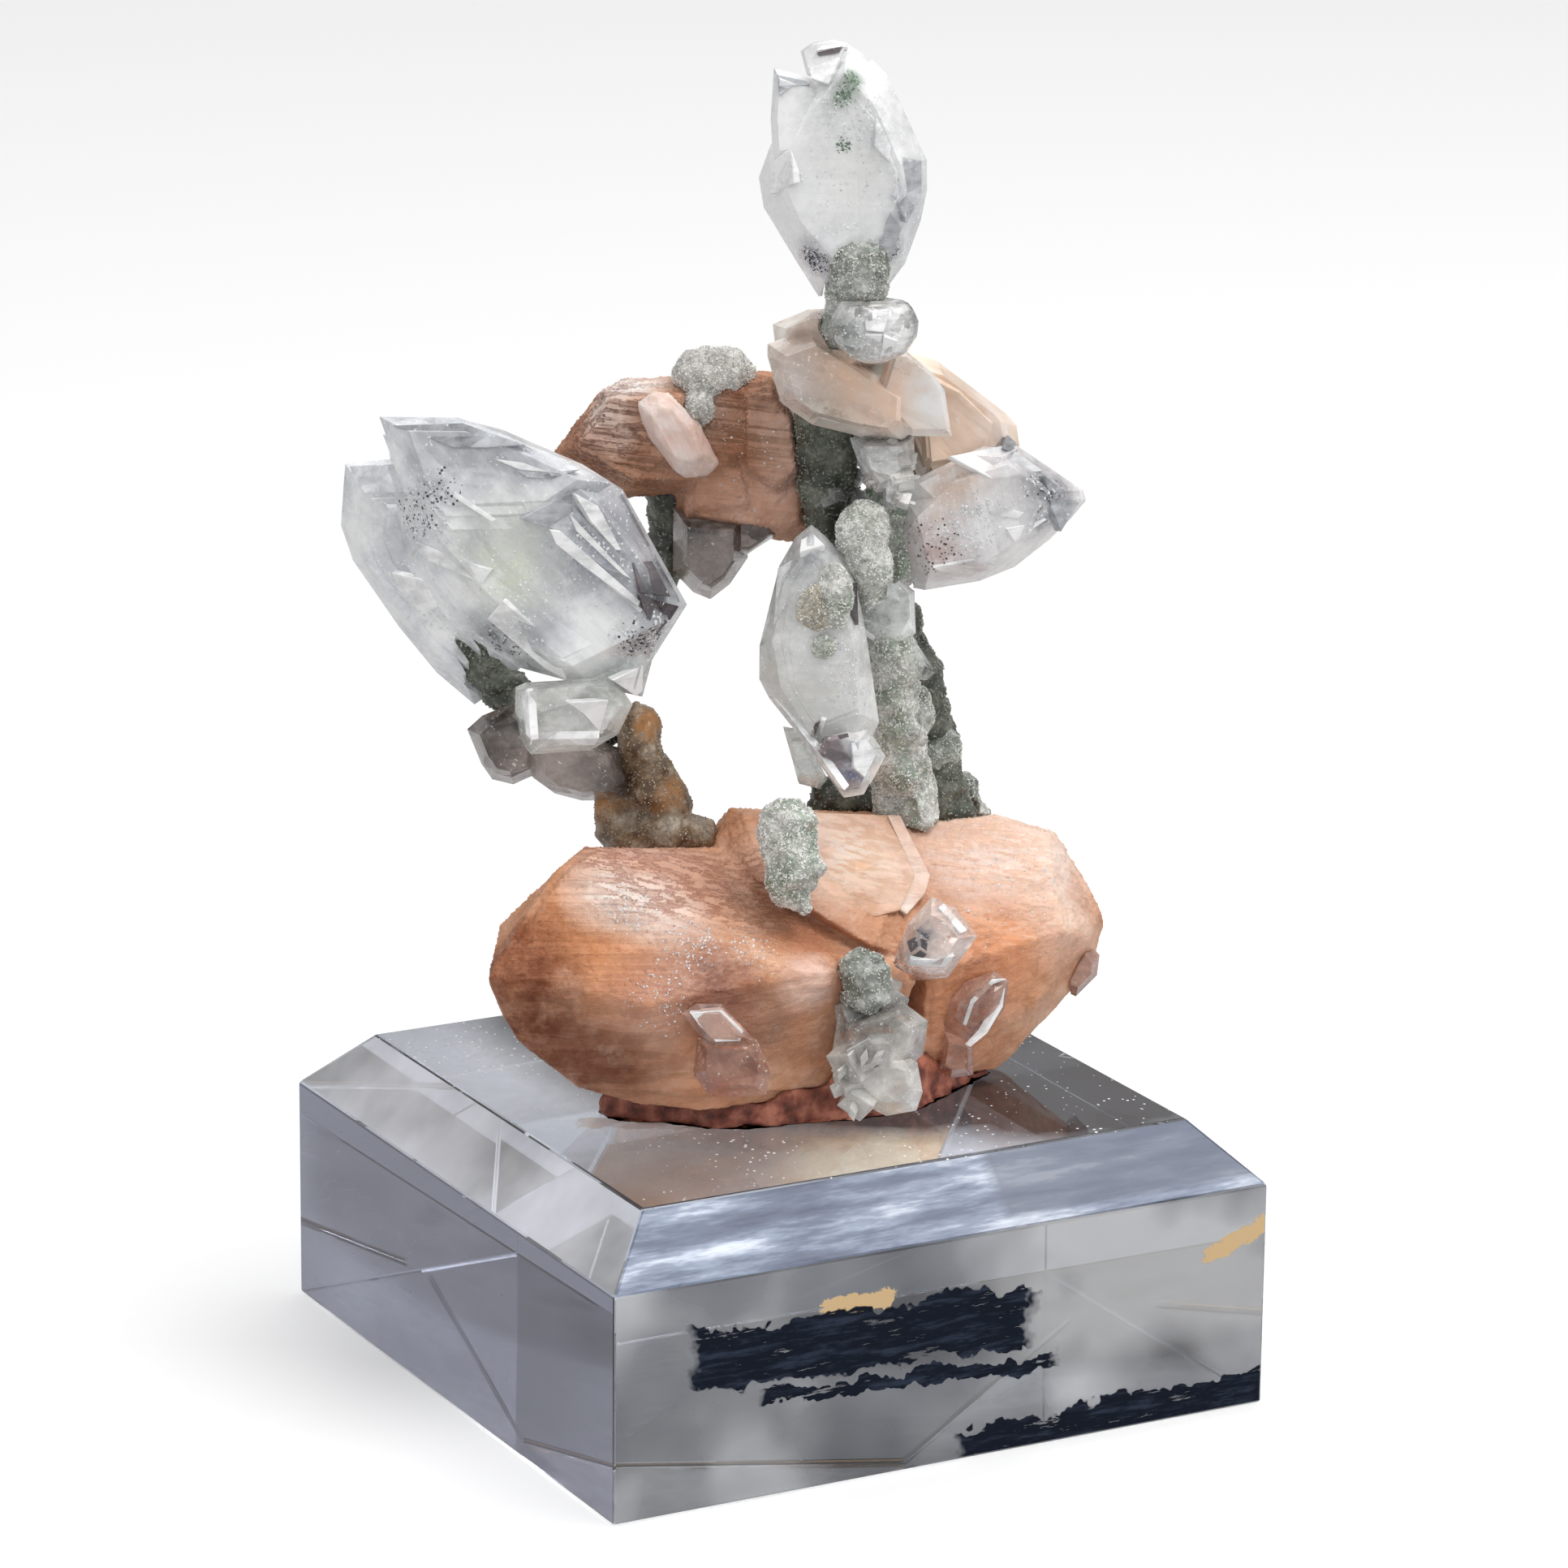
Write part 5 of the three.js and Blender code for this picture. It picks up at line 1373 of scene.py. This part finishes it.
apricot = crystal_material(
    "apricot stilbite", (1.0, 0.74, 0.59), 1.0, [
        ((23, 101, 5), 4.2, 2.4, (1.0, 0.83, 0.75), 0.95),
        ((17.5, 98, 3), 3.0, 2.4, (0.98, 0.7, 0.54), 0.9),
    ], leaning(40), (0.96, 0.7, 0.52), (0.1, 0.4), 20.0, AMBER,
    cells=(400.0, 0.12), contrast=0.15, grain=0.5)
print("materials so far:", len(bpy.data.materials))

# %% [markdown]
# ## Crystals with growth steps
#
# A crystal starts as its CAD shape, a hair larger. Plates shaped like the crystal itself, but
# narrower and thicker, are joined to it with a Boolean, so they stand proud of its faces as
# growth steps do. To stretch a plate the right way, the crystal's own directions are found
# from how its surface is spread. A fine bevel then brightens every edge.

# %% Crystals with steps
FLAT_WITHIN = math.radians(0.8)
SHARP_FROM = 0.3
GROWTH = 0.3
STEPS = [((0.93, 0.86, 1.03), (0.2, 0.3, 0)), ((0.85, 0.7, 1.06), (-0.3, 0.2, 0))]


def blade_axes(piece):
    """The piece's middle and its own directions: along, across and through its flat faces."""
    corners = shape_of(piece)[0]
    middle = (corners.max(0) + corners.min(0)) / 2
    spots = surface_spots(piece, 4000, np.random.default_rng(5))[0]
    vectors = np.linalg.eigh(np.cov((spots - spots.mean(0)).T))[1]
    return middle, vectors[:, ::-1]


def growth_steps(piece, plates):
    """Adds plates, each given by its shares of the crystal's size and its shift in mm."""
    middle, axes = blade_axes(piece)
    own = (shape_of(piece)[0] - middle) @ axes
    pattern = piece.data.copy()
    for shares, shift in plates:
        plate = new_piece("plate", pattern.copy())
        set_corners(plate, (own * np.array(shares) + np.array(shift) * MM) @ axes.T + middle)
        modify(piece, "BOOLEAN", operation="UNION", solver="EXACT", object=plate)
        bpy.data.objects.remove(plate)
    bpy.data.meshes.remove(pattern)


def crystal(node, name, material, slot_name, plates=STEPS, edge=0.06, weld=0.01):
    """A crystal from its CAD node. Edge is its bevel, and weld joins corners closer than that."""
    piece = copy_of(node, name)
    low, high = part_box(node)
    middle = (low + high) / 2
    wider = [1 + 2 * GROWTH * MM / side for side in high - low]
    edit(piece, lambda: bpy.ops.transform.resize(value=wider, center_override=middle))
    growth_steps(piece, plates)
    edit(piece, lambda: bpy.ops.mesh.remove_doubles(threshold=weld * MM),
         lambda: bpy.ops.mesh.dissolve_limited(angle_limit=FLAT_WITHIN),
         lambda: bpy.ops.mesh.fill_holes(sides=12))
    modify(piece, "BEVEL", width=edge * MM, segments=1, limit_method="ANGLE", angle_limit=SHARP_FROM)
    piece.data.materials.append(material)
    finish_piece(piece, slot_name, node)
    piece.visible_shadow = "apophyllite" not in slot_name
    return piece


print("growth steps on a large crystal:", len(STEPS))

# %% [markdown]
# ## Flakes and facets
#
# Flakes and specks are small flat discs, half sunk in a crystal's faces. They are scattered
# near the places where the photograph shows them.
#
# A facet that flashes or shows dark is a thin plate of its own, and a white plate is a painted
# highlight. Its outline is drawn on the photograph, in pixels, and each corner is sent along
# the camera's line of sight to the crystal. The plate lies flat across the places where those
# lines meet the surface.

# %% Flakes
def model_flake():
    bpy.ops.object.select_all(action="DESELECT")
    bpy.ops.mesh.primitive_cone_add(vertices=5, radius1=0.5, radius2=0.32, depth=0.16)
    return bpy.context.object


FLAKE = pattern_of(model_flake(), "flake")
CANDIDATES = 60000


def flecks(shell, name, groups, size, seed, material, flat=0.35):
    """Flakes half sunk in a crystal's faces. A group is its place, its radius and its count."""
    random = np.random.default_rng(seed)
    spots, normals = surface_spots(shell, CANDIDATES, random)
    chosen = []
    for centre, radius, count in groups:
        reach = np.linalg.norm(spots - np.array(spot(*centre)), axis=1)
        near = np.flatnonzero(reach < radius * MM * random.random(len(reach)) ** 0.5)
        chosen.extend(random.permutation(near)[:count])
    spots, normals = spots[chosen], normals[chosen]
    up = unit(normals + flat * random.normal(size=normals.shape))
    width = size * MM * random.uniform(0.3, 1.2, len(spots))
    length = width * random.uniform(0.5, 1.3, len(spots))
    flakes = copies_mesh(name, FLAKE, spots, up, random, width, length, 0)
    flakes.data.materials.append(material)
    finish_piece(flakes, shell["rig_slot"])


# %% Facets
PLATE_THICKNESS = 0.9
MOST_LIFT = 0.8
PLATE_RINGS = ((0.96, 0.0), (1.0, 0.07), (0.97, PLATE_THICKNESS))


def sight(surface, across, down):
    """Where the line of sight through a pixel of the photograph meets a surface."""
    lens = camera_data.sensor_width / camera_data.lens
    ray = Vector(((across / PICTURE_SIDE - 0.5) * lens, (0.5 - down / PICTURE_SIDE) * lens, -1))
    aim = (camera.matrix_world.to_3x3() @ ray).normalized()
    hit, normal = surface.ray_cast(camera.matrix_world.translation, aim)[:2]
    return hit, normal, aim


def plate_rim(surface, outline, proud):
    """The outline's corners in space, on one plane just proud of the surface, and its normal."""
    found = [sight(surface, *pixel) for pixel in outline]
    hits = [hit for hit, normal, aim in found if hit]
    if len(hits) < 2:
        return [], None
    normal = sum((normal for hit, normal, aim in found if hit), Vector()).normalized()
    middle = sum(hits, Vector()) / len(hits)
    level = min(max((hit - middle).dot(normal) for hit in hits), MOST_LIFT * MM) + proud * MM
    top = middle + normal * level
    start = camera.matrix_world.translation
    aims = [aim for _, _, aim in found]
    return [start + aim * ((top - start).dot(normal) / aim.dot(normal)) for aim in aims], normal


def plate_walls(first, count):
    """The faces of a plate whose three rings of corners start at the corner called first."""
    walls = [
        [first + k for k in range(count)],
        [first + 2 * count + k for k in range(count)][::-1],
    ]
    for ring in (first, first + count):
        for k in range(count):
            other = (k + 1) % count
            walls.append([ring + k, ring + count + k, ring + count + other, ring + other])
    return walls


def facets(shell, name, outlines, material, proud=0.12):
    """Flat plates on a crystal's faces. Each outline is drawn as the picture shows it."""
    corners, faces = shape_of(shell)
    surface = BVHTree.FromPolygons([Vector(row) for row in corners], faces)
    rows, walls = [], []
    for outline in outlines:
        rim, normal = plate_rim(surface, outline, proud)
        if not rim:
            continue
        walls += plate_walls(len(rows), len(rim))
        centre = sum(rim, Vector()) / len(rim)
        for share, depth in PLATE_RINGS:
            rows += [centre + (corner - centre) * share - normal * depth * MM for corner in rim]
    mesh = bpy.data.meshes.new(name)
    mesh.from_pydata(rows, [], walls)
    piece = new_piece(name, mesh)
    edit(piece, lambda: bpy.ops.mesh.normals_make_consistent(inside=False))
    piece.data.materials.append(material)
    finish_piece(piece, shell["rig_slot"])


print("a plate is", PLATE_THICKNESS, "mm thick")

# %% [markdown]
# ## The left fan
#
# The largest crystal is a fan of blades. White plates are painted highlights on its bright
# ledges, grey and dark ones painted reflections on the faces that mirror something dark, and
# specks gather at its upper left.

# %% Left fan
left_fan = crystal("left_apophyllite", "left_fan", fan_crystal, "apophyllite")
flecks(left_fan, "left_fan_specks", [
    ((-37, 92.5, -3), 3.5, 110),
    ((-34.5, 95.3, -6), 2.5, 60),
    ((-14, 80, -6), 3, 120),
    ((-28, 79, -5), 3, 60),
], size=0.35, seed=21, material=flake_dark)
flecks(left_fan, "left_fan_flakes", [
    ((-36, 92.5, -4), 4, 260),
    ((-20, 90, -6), 9, 200),
    ((-14, 80, -6), 4, 160),
    ((-30, 84, -5), 8, 120),
    ((-38, 82, -2), 5, 120),
], size=0.4, seed=22, material=flake_white)
facets(left_fan, "fan_white_plates", [
    [(707, 607), (737, 623), (766, 678), (759, 678), (729, 643)],
    [(701, 632), (777, 713), (767, 708), (710, 654)],
    [(677, 652), (690, 654), (789, 741), (786, 747), (718, 697), (685, 670)],
    [(688, 669), (792, 751), (789, 755)],
    [(608, 565), (644, 570), (677, 582), (641, 579)],
    [(482, 706), (520, 714), (540, 747), (520, 758), (493, 733)],
    [(619, 741), (680, 788), (697, 838), (671, 824), (600, 763)],
    [(754, 838), (793, 820), (792, 852), (784, 858)],
    [(510, 668), (605, 703), (594, 719), (520, 688)],
    [(560, 605), (612, 640), (606, 643), (558, 612)],
], highlight_facet)
facets(left_fan, "fan_grey_plates", [
    [(484, 524), (570, 521), (648, 548), (600, 551), (559, 551), (520, 537)],
    [(767, 608), (838, 741), (808, 692), (784, 643)],
    [(640, 640), (705, 606), (706, 630), (672, 650)],
    [(634, 579), (677, 583), (716, 578), (680, 590), (650, 588)],
], facet_grey, proud=0.08)
facets(left_fan, "fan_dark_plates", [
    [(808, 739), (837, 747), (826, 764)],
    [(789, 732), (806, 738), (823, 767), (811, 782), (800, 763)],
    [(779, 693), (804, 691), (827, 735), (789, 731)],
], facet_dark, proud=0.1)
facets(left_fan, "fan_left_plates", [
    [(430, 574), (488, 571), (500, 606), (454, 606), (437, 596)],
], facet_pale, proud=0.1)

# %% [markdown]
# ## The top, middle and right crystals
#
# The top crystal is milky, with a green tip and a dark speck. The middle one is a tall blade
# with a painted violet glint at its foot. The right one ends in a dark point.

# %% Top crystal
top_blade = crystal("top_apophyllite", "top_blade", top_crystal, "apophyllite")
facets(top_blade, "top_dark_plates", [
    [(1006, 63), (1038, 58), (1034, 65), (1009, 69)],
], facet_dark, proud=0.2)
facets(top_blade, "top_grey_plates", [
    [(958, 92), (992, 99), (998, 104), (975, 107), (960, 117)],
], facet_grey, proud=0.08)
# Painted shade: pale grey plates along the right edge of the top crystal.
facets(top_blade, "top_pale_plates", [
    [(1115, 194), (1136, 198), (1136, 241), (1118, 275), (1102, 241), (1106, 223)],
    [(1098, 262), (1112, 280), (1098, 318), (1080, 330), (1084, 290)],
], facet_pale, proud=0.06)
facets(top_blade, "top_white_plates", [
    [(997, 83), (1034, 70), (1021, 104), (999, 96)],
    [(1012, 57), (1040, 55), (1046, 58), (1038, 57), (1006, 62)],
    [(950, 190), (975, 185), (978, 225), (948, 240)],
    [(1080, 130), (1100, 165), (1096, 200), (1078, 180)],
], highlight_facet, proud=0.08)
flecks(top_blade, "top_blade_green", [
    ((7.3, 138.3, -6), 1.3, 80),
    ((6.2, 136.5, -6), 1.4, 70),
    ((6.2, 131.5, -6), 1.0, 40),
    ((2.8, 132, -5), 0.8, 25),
], size=0.3, seed=23, material=flake_green)
flecks(top_blade, "top_blade_flakes", [
    ((7, 134, -6), 4, 220),
    ((8, 128, -6), 7, 160),
    ((3, 120, -5), 3, 120),
    ((11.5, 120.5, -5), 2.5, 90),
], size=0.3, seed=24, material=flake_white)
flecks(top_blade, "top_blade_specks", [
    ((3, 119, -5), 2.2, 150),
    ((11.5, 120, -5), 2.0, 120),
], size=0.3, seed=26, material=flake_dark)

# %% Middle crystal
middle_blade = crystal("middle_apophyllite", "middle_blade", middle_crystal, "apophyllite")
facets(middle_blade, "middle_white_plates", [
    [(1011, 886), (1017, 888), (1006, 925), (1000, 921)],
    [(1002, 657), (1016, 671), (985, 680), (987, 665)],
    [(1049, 915), (1068, 911), (1081, 928), (1066, 958), (1053, 947)],
    [(958, 700), (975, 690), (966, 745), (953, 770)],
    [(946, 853), (953, 858), (1012, 934), (1040, 974), (1034, 972)],
], highlight_facet, proud=0.1)
facets(middle_blade, "middle_dark_plates", [
    [(1004, 892), (1010, 889), (1000, 918), (995, 914)],
    [(1014, 910), (1045, 903), (1046, 908), (1014, 914)],
    [(1049, 718), (1056, 718), (1058, 770), (1050, 753)],
], facet_dark, proud=0.1)
facets(middle_blade, "middle_violet_plates", [
    [(1008, 925), (1015, 913), (1032, 911), (1064, 960), (1058, 972), (1041, 975)],
], facet_violet, proud=0.1)
flecks(middle_blade, "middle_blade_flakes", [
    ((6, 78, -6), 4, 160),
    ((7.5, 74, -6), 3, 120),
], size=0.3, seed=25, material=flake_white)

# %% Right crystal
right_blade = crystal(
    "right_apophyllite", "right_crystal", right_crystal, "apophyllite", plates=(), weld=0.02)
facets(right_blade, "right_dark_plates", [
    [(1288, 586), (1330, 620), (1308, 655), (1296, 625)],
    [(1242, 536), (1252, 545), (1248, 560), (1236, 552)],
], facet_grey, proud=0.1)
facets(right_blade, "right_white_plates", [
    [(1170, 562), (1240, 548), (1286, 580), (1222, 590)],
    [(1150, 700), (1200, 690), (1225, 700), (1180, 716)],
    [(1215, 620), (1262, 632), (1255, 640), (1220, 634)],
    [(1240, 652), (1290, 640), (1250, 668)],
], highlight_facet, proud=0.08)
flecks(right_blade, "right_crystal_flakes", [
    ((20.5, 91, 0), 4, 200),
    ((27, 92, 1), 4, 90),
], size=0.4, seed=27, material=flake_white)
flecks(right_blade, "right_crystal_specks", [
    ((16, 88, 0), 4, 110),
    ((28, 94, 2), 3, 60),
], size=0.3, seed=28, material=flake_dark)

# %% [markdown]
# ## The upper stilbite, and a tablet on the lower sheaf
#
# A pale flat tablet lies across the middle of the lower sheaf, over the cleft. Its front and
# its side are two plates with their own colours, and the side's paler colour is painted light,
# because they catch the light differently.

# %% Upper stilbite
upper_left = stilbite(
    "upper_left_stilbite", "upper_left_sheaf", brown_peach, "stilbite", 0.25, (0.4, 0.9),
    swell=0.4, top_only=None, rounds=6)
crystal("centre_stilbite", "centre_blades", cream, "pale_stilbite")
crystal("right_stilbite", "right_blade", apricot, "stilbite")
flecks(upper_left, "upper_left_glitter", [
    ((-12, 100, 7), 9, 120),
    ((-3, 96, 5), 7, 120),
], size=0.25, seed=31, material=flake_white, flat=0.6)

# %% The middle tablet of the lower sheaf
pale_tablet = stilbite_material(
    "pale tablet stilbite", (0.93, 0.7, 0.58), (0.78, 0.5, 0.37), (0.66, 0.37, 0.24), [
        ((9, 56, -5), 3.0, 2.5, (0.82, 0.5, 0.3)),
        ((8.9, 51.8, -8.3), 3.2, 2.0, (0.6, 0.31, 0.18)),
        ((4, 58, -3), 2.6, 2.0, (0.86, 0.64, 0.55)),
    ], [((8, 57, -4), 4.0, 3.0, (0.93, 0.8, 0.72))], SHEAF_TURN)
facets(lower, "middle_tablet", [
    [(1004, 1001), (1096, 1004), (1128, 1078), (1110, 1120), (1060, 1134), (1006, 1108)],
], pale_tablet, proud=0.4)
# Painted light: the tablet's side is a paler plate than its front.
facets(lower, "tablet_side", [
    [(1094, 1004), (1109, 1004), (1146, 1078), (1140, 1101), (1118, 1126), (1108, 1120), (1127, 1078)],
], lit_side_peach, proud=0.55)

# %% [markdown]
# ## The small crystals
#
# The small ones are made as the large ones are, with one growth step or none. Two of them and
# one stem get a crowd of tiny crystals that sprout from them, all copies of one small
# apophyllite: a square prism with a four-sided point.

# %% Small crystals
SMALL = {
    "left_gem_apophyllite": ("left_gem", gem_crystal, "apophyllite"),
    "left_grey_apophyllites": ("left_grey_crystals", grey_crystal, "grey_apophyllite"),
    "middle_small_apophyllite": ("middle_splinter", clear_crystal, "apophyllite"),
    "column_apophyllite": ("clasping_crystal", clear_crystal, "apophyllite"),
    "column_flake": ("thin_flake", clear_crystal, "apophyllite"),
    "hanging_apophyllites": ("hanging_crystals", grey_crystal, "grey_apophyllite"),
    "low_left_apophyllite": ("low_left_crystals", warm_crystal, "apophyllite"),
    "low_middle_apophyllite": ("low_middle_crystal", heart_crystal, "apophyllite"),
    "low_right_apophyllite": ("low_right_leaf", warm_crystal, "apophyllite"),
    "edge_apophyllite": ("edge_crystal", warm_crystal, "apophyllite"),
    "front_apophyllites": ("front_cluster", frost_crystal, "apophyllite"),
    "stem_crystals": ("stem_cluster", milky_crystal, "apophyllite"),
}
WITHOUT_STEPS = ("low_middle_apophyllite", "edge_apophyllite")
small = {}
for node, (name, material, slot_name) in SMALL.items():
    plates = () if node in WITHOUT_STEPS else STEPS[:1]
    small[node] = crystal(node, name, material, slot_name, plates=plates, edge=0.05)

# %% Plates on the small crystals
facets(small["left_gem_apophyllite"], "left_gem_rims", [
    [(642, 852), (650, 848), (654, 912), (648, 906)],
    [(652, 918), (734, 918), (738, 910), (655, 911)],
    [(700, 866), (758, 862), (766, 872), (742, 905), (720, 880)],
], highlight_facet, proud=0.1)
low_middle = small["low_middle_apophyllite"]
middle = sum(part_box("low_middle_apophyllite"), Vector()) / 2
nearer = direction(0, -1, 0.2) * 2.2 * MM
edit(low_middle, lambda: bpy.ops.transform.resize(value=(1.1, 1.1, 1.1), center_override=middle),
     lambda: bpy.ops.transform.translate(value=nearer))
facets(low_middle, "low_middle_plates", [
    [(1120, 1190), (1164, 1192), (1176, 1178), (1150, 1183), (1122, 1182)],
    [(1163, 1113), (1192, 1146), (1184, 1150), (1156, 1118)],
], highlight_facet, proud=0.1)
facets(low_middle, "low_middle_heart", [
    [(1117, 1160), (1128, 1154), (1131, 1166), (1122, 1174)],
    [(1134, 1156), (1143, 1160), (1142, 1172), (1135, 1168)],
    [(1124, 1178), (1134, 1171), (1142, 1176), (1136, 1182)],
], facet_dark, proud=0.05)
facets(small["low_left_apophyllite"], "low_left_plates", [
    [(850, 1248), (889, 1245), (916, 1271), (912, 1283), (882, 1284), (862, 1264)],
], highlight_facet, proud=0.15)
facets(small["low_right_apophyllite"], "leaf_rims", [
    [(1186, 1262), (1196, 1232), (1222, 1207), (1240, 1206), (1224, 1212), (1200, 1236), (1190, 1264)],
    [(1240, 1208), (1236, 1240), (1216, 1274), (1196, 1290), (1213, 1272), (1232, 1238)],
], highlight_facet, proud=0.1)

# %% One tiny apophyllite
def model_gem():
    """A square prism with a four-sided point, the habit of a small apophyllite."""
    bpy.ops.object.select_all(action="DESELECT")
    bpy.ops.mesh.primitive_cylinder_add(vertices=4, radius=0.5, depth=1, location=(0, 0, 0.5))
    gem = bpy.context.object
    select_top(gem)
    bpy.ops.mesh.extrude_region_move(TRANSFORM_OT_translate={"value": (0, 0, 0.45)})
    bpy.ops.transform.resize(value=(0.22, 0.5, 1))
    bpy.ops.mesh.select_all(action="SELECT")
    bpy.ops.mesh.bevel(offset=0.03, segments=1)
    bpy.ops.mesh.normals_make_consistent(inside=False)
    bpy.ops.object.mode_set(mode="OBJECT")
    apply_placing()
    return gem


GEM = pattern_of(model_gem(), "tiny crystal")
SPROUT_CANDIDATES = 40000


def sprout(piece, name, groups, seed, material, lean):
    """Tiny crystals that grow out of a piece. A group is place, radius, count, width, length."""
    random = np.random.default_rng(seed)
    spots, normals = surface_spots(piece, SPROUT_CANDIDATES, random)
    chosen, widths, lengths = [], [], []
    for centre, radius, count, width, length in groups:
        reach = np.linalg.norm(spots - np.array(spot(*centre)), axis=1)
        near = random.permutation(np.flatnonzero(reach < radius * MM))[:count]
        chosen.extend(near)
        share = random.uniform(0.5, 1.2, len(near)) * MM
        widths.extend(width * share)
        lengths.extend(length * share)
    up = unit(normals[chosen] + lean * random.normal(size=(len(chosen), 3)))
    crowd = copies_mesh(name, GEM, spots[chosen], up, random, np.array(widths), np.array(lengths), 0.3)
    crowd.data.materials.append(material)
    finish_piece(crowd, "apophyllite")


# %% Grow the tiny crystals
sprout(small["front_apophyllites"], "front_points", [
    ((10, 41, -18.5), 4.5, 4, 4.2, 2.6),
    ((11.5, 37, -19), 4, 4, 4.0, 2.6),
], seed=51, material=frost_crystal, lean=0.35)
sprout(small["stem_crystals"], "stem_cluster_points", [
    ((11.3, 97.5, -2.4), 4.5, 22, 2.2, 1.5),
], seed=55, material=frost_crystal, lean=0.6)
sprout(stems["back_stem"], "stem_points", [
    ((9, 93, 2), 4, 12, 1.3, 1.6),
], seed=53, material=clear_crystal, lean=0.5)

# %% [markdown]
# ## Lumps of druse, and the round crystal
#
# Some knobs of sugary quartz sit on the stems or show through a clear crystal. Each is a ball,
# stretched, swollen by the same textures as the stems, and sugared. A druse is given by its
# middle, its radius, its stretch, its two materials, its points on a square millimetre, and
# the seed of its random draws.

# %% Lumps of druse
def lump(name, middle, radius, shape, detail=5):
    """A ball, stretched along the specimen's own directions, for a knob or a round crystal."""
    bpy.ops.object.select_all(action="DESELECT")
    bpy.ops.mesh.primitive_ico_sphere_add(subdivisions=detail, radius=radius * MM)
    piece = bpy.context.object
    piece.name = name
    edit(piece, lambda: bpy.ops.transform.resize(value=shape))
    piece.rotation_euler = (0, 0, SPECIMEN_TURN)
    piece.location = place(*middle)
    apply_placing()
    return piece


DRUSES = {
    "included_druse": ((4.0, 83.4, -6.5), 2.2, (1, 0.36, 1.15), brown_druse, pale_sugar, 17, 61),
    "included_crest": ((5.9, 84.6, -6.5), 2.3, (0.8, 0.34, 1.55), pale_green, pale_sugar, 17, 62),
    "included_patch": ((4.8, 79.2, -6.7), 1.4, (1.1, 0.4, 0.9), pale_green, pale_sugar, 17, 63),
    "neck_front": ((8.0, 118.4, -5.2), 3.3, (1.0, 0.7, 1.15), grey_green, grey_sugar, 14, 64),
    "column_knob": ((8.9, 91.0, -2.6), 2.6, (0.95, 0.8, 1.15), pale_green, pale_sugar, 15, 66),
    "column_swell": ((12.6, 75.6, 1.6), 2.7, (1.0, 0.8, 1.2), pale_green, pale_sugar, 15, 67),
    "column_side": ((14.6, 69.5, 4.2), 2.2, (0.9, 0.8, 1.3), grey_green, grey_sugar, 14, 68),
    "rear_knob": ((17.0, 64.0, 9.4), 2.6, (1.0, 0.8, 1.2), grey_green, grey_sugar, 12, 69),
}
for name, (middle, radius, shape, material, crust_material, per_mm2, seed) in DRUSES.items():
    piece = lump(name, middle, radius, shape)
    displace(piece, knob_texture, 1.0)
    displace(piece, grain_texture, 0.3)
    piece.data.materials.append(material)
    sugar(piece, crust_material, per_mm2, 0.22, seed)
    finish_piece(piece, "chalcedony")

# %% [markdown]
# The ball at the neck is one clear crystal, rounded and flat on top, with a few small faces,
# and its white middle is a painted highlight.

# %% Round crystal
BALL_MIDDLE = (9.6, 113.2, -7.4)
BALL_TOP = BALL_MIDDLE[1] + 2.4
ball = lump("round_crystal", BALL_MIDDLE, 4.4, (1, 0.9, 0.86), 4)
for vertex in ball.data.vertices:
    vertex.co.z = min(vertex.co.z, BALL_TOP * MM)
displace(ball, pebble_texture, 0.5)
ball.data.materials.append(ball_crystal)
finish_piece(ball, "apophyllite", "ball_apophyllite")
facets(ball, "round_crystal_plates", [
    [(1064, 386), (1097, 381), (1089, 409), (1067, 407)],
    [(1100, 383), (1115, 391), (1110, 416), (1095, 409)],
    [(1066, 412), (1087, 413), (1081, 441), (1060, 431)],
    [(1090, 415), (1106, 420), (1096, 436), (1085, 440)],
], highlight_facet, proud=0.04)
flecks(ball, "round_crystal_flakes", [
    ((8.6, 112, -11), 4, 160),
], size=0.4, seed=65, material=flake_white, flat=0.8)

# %% [markdown]
# Last comes a little glitter where the lower sheaf catches the light.

# %% Glitter on the lower sheaf
flecks(lower, "sheaf_glitter", [
    ((-15, 54, -18), 3.5, 200),
    ((-8.6, 51.6, -20.5), 4, 220),
    ((-11, 47, -25), 4.5, 160),
    ((-2, 50, -18), 4, 120),
    ((24, 50, 0), 8, 120),
], size=0.3, seed=54, material=flake_white, flat=0.6)
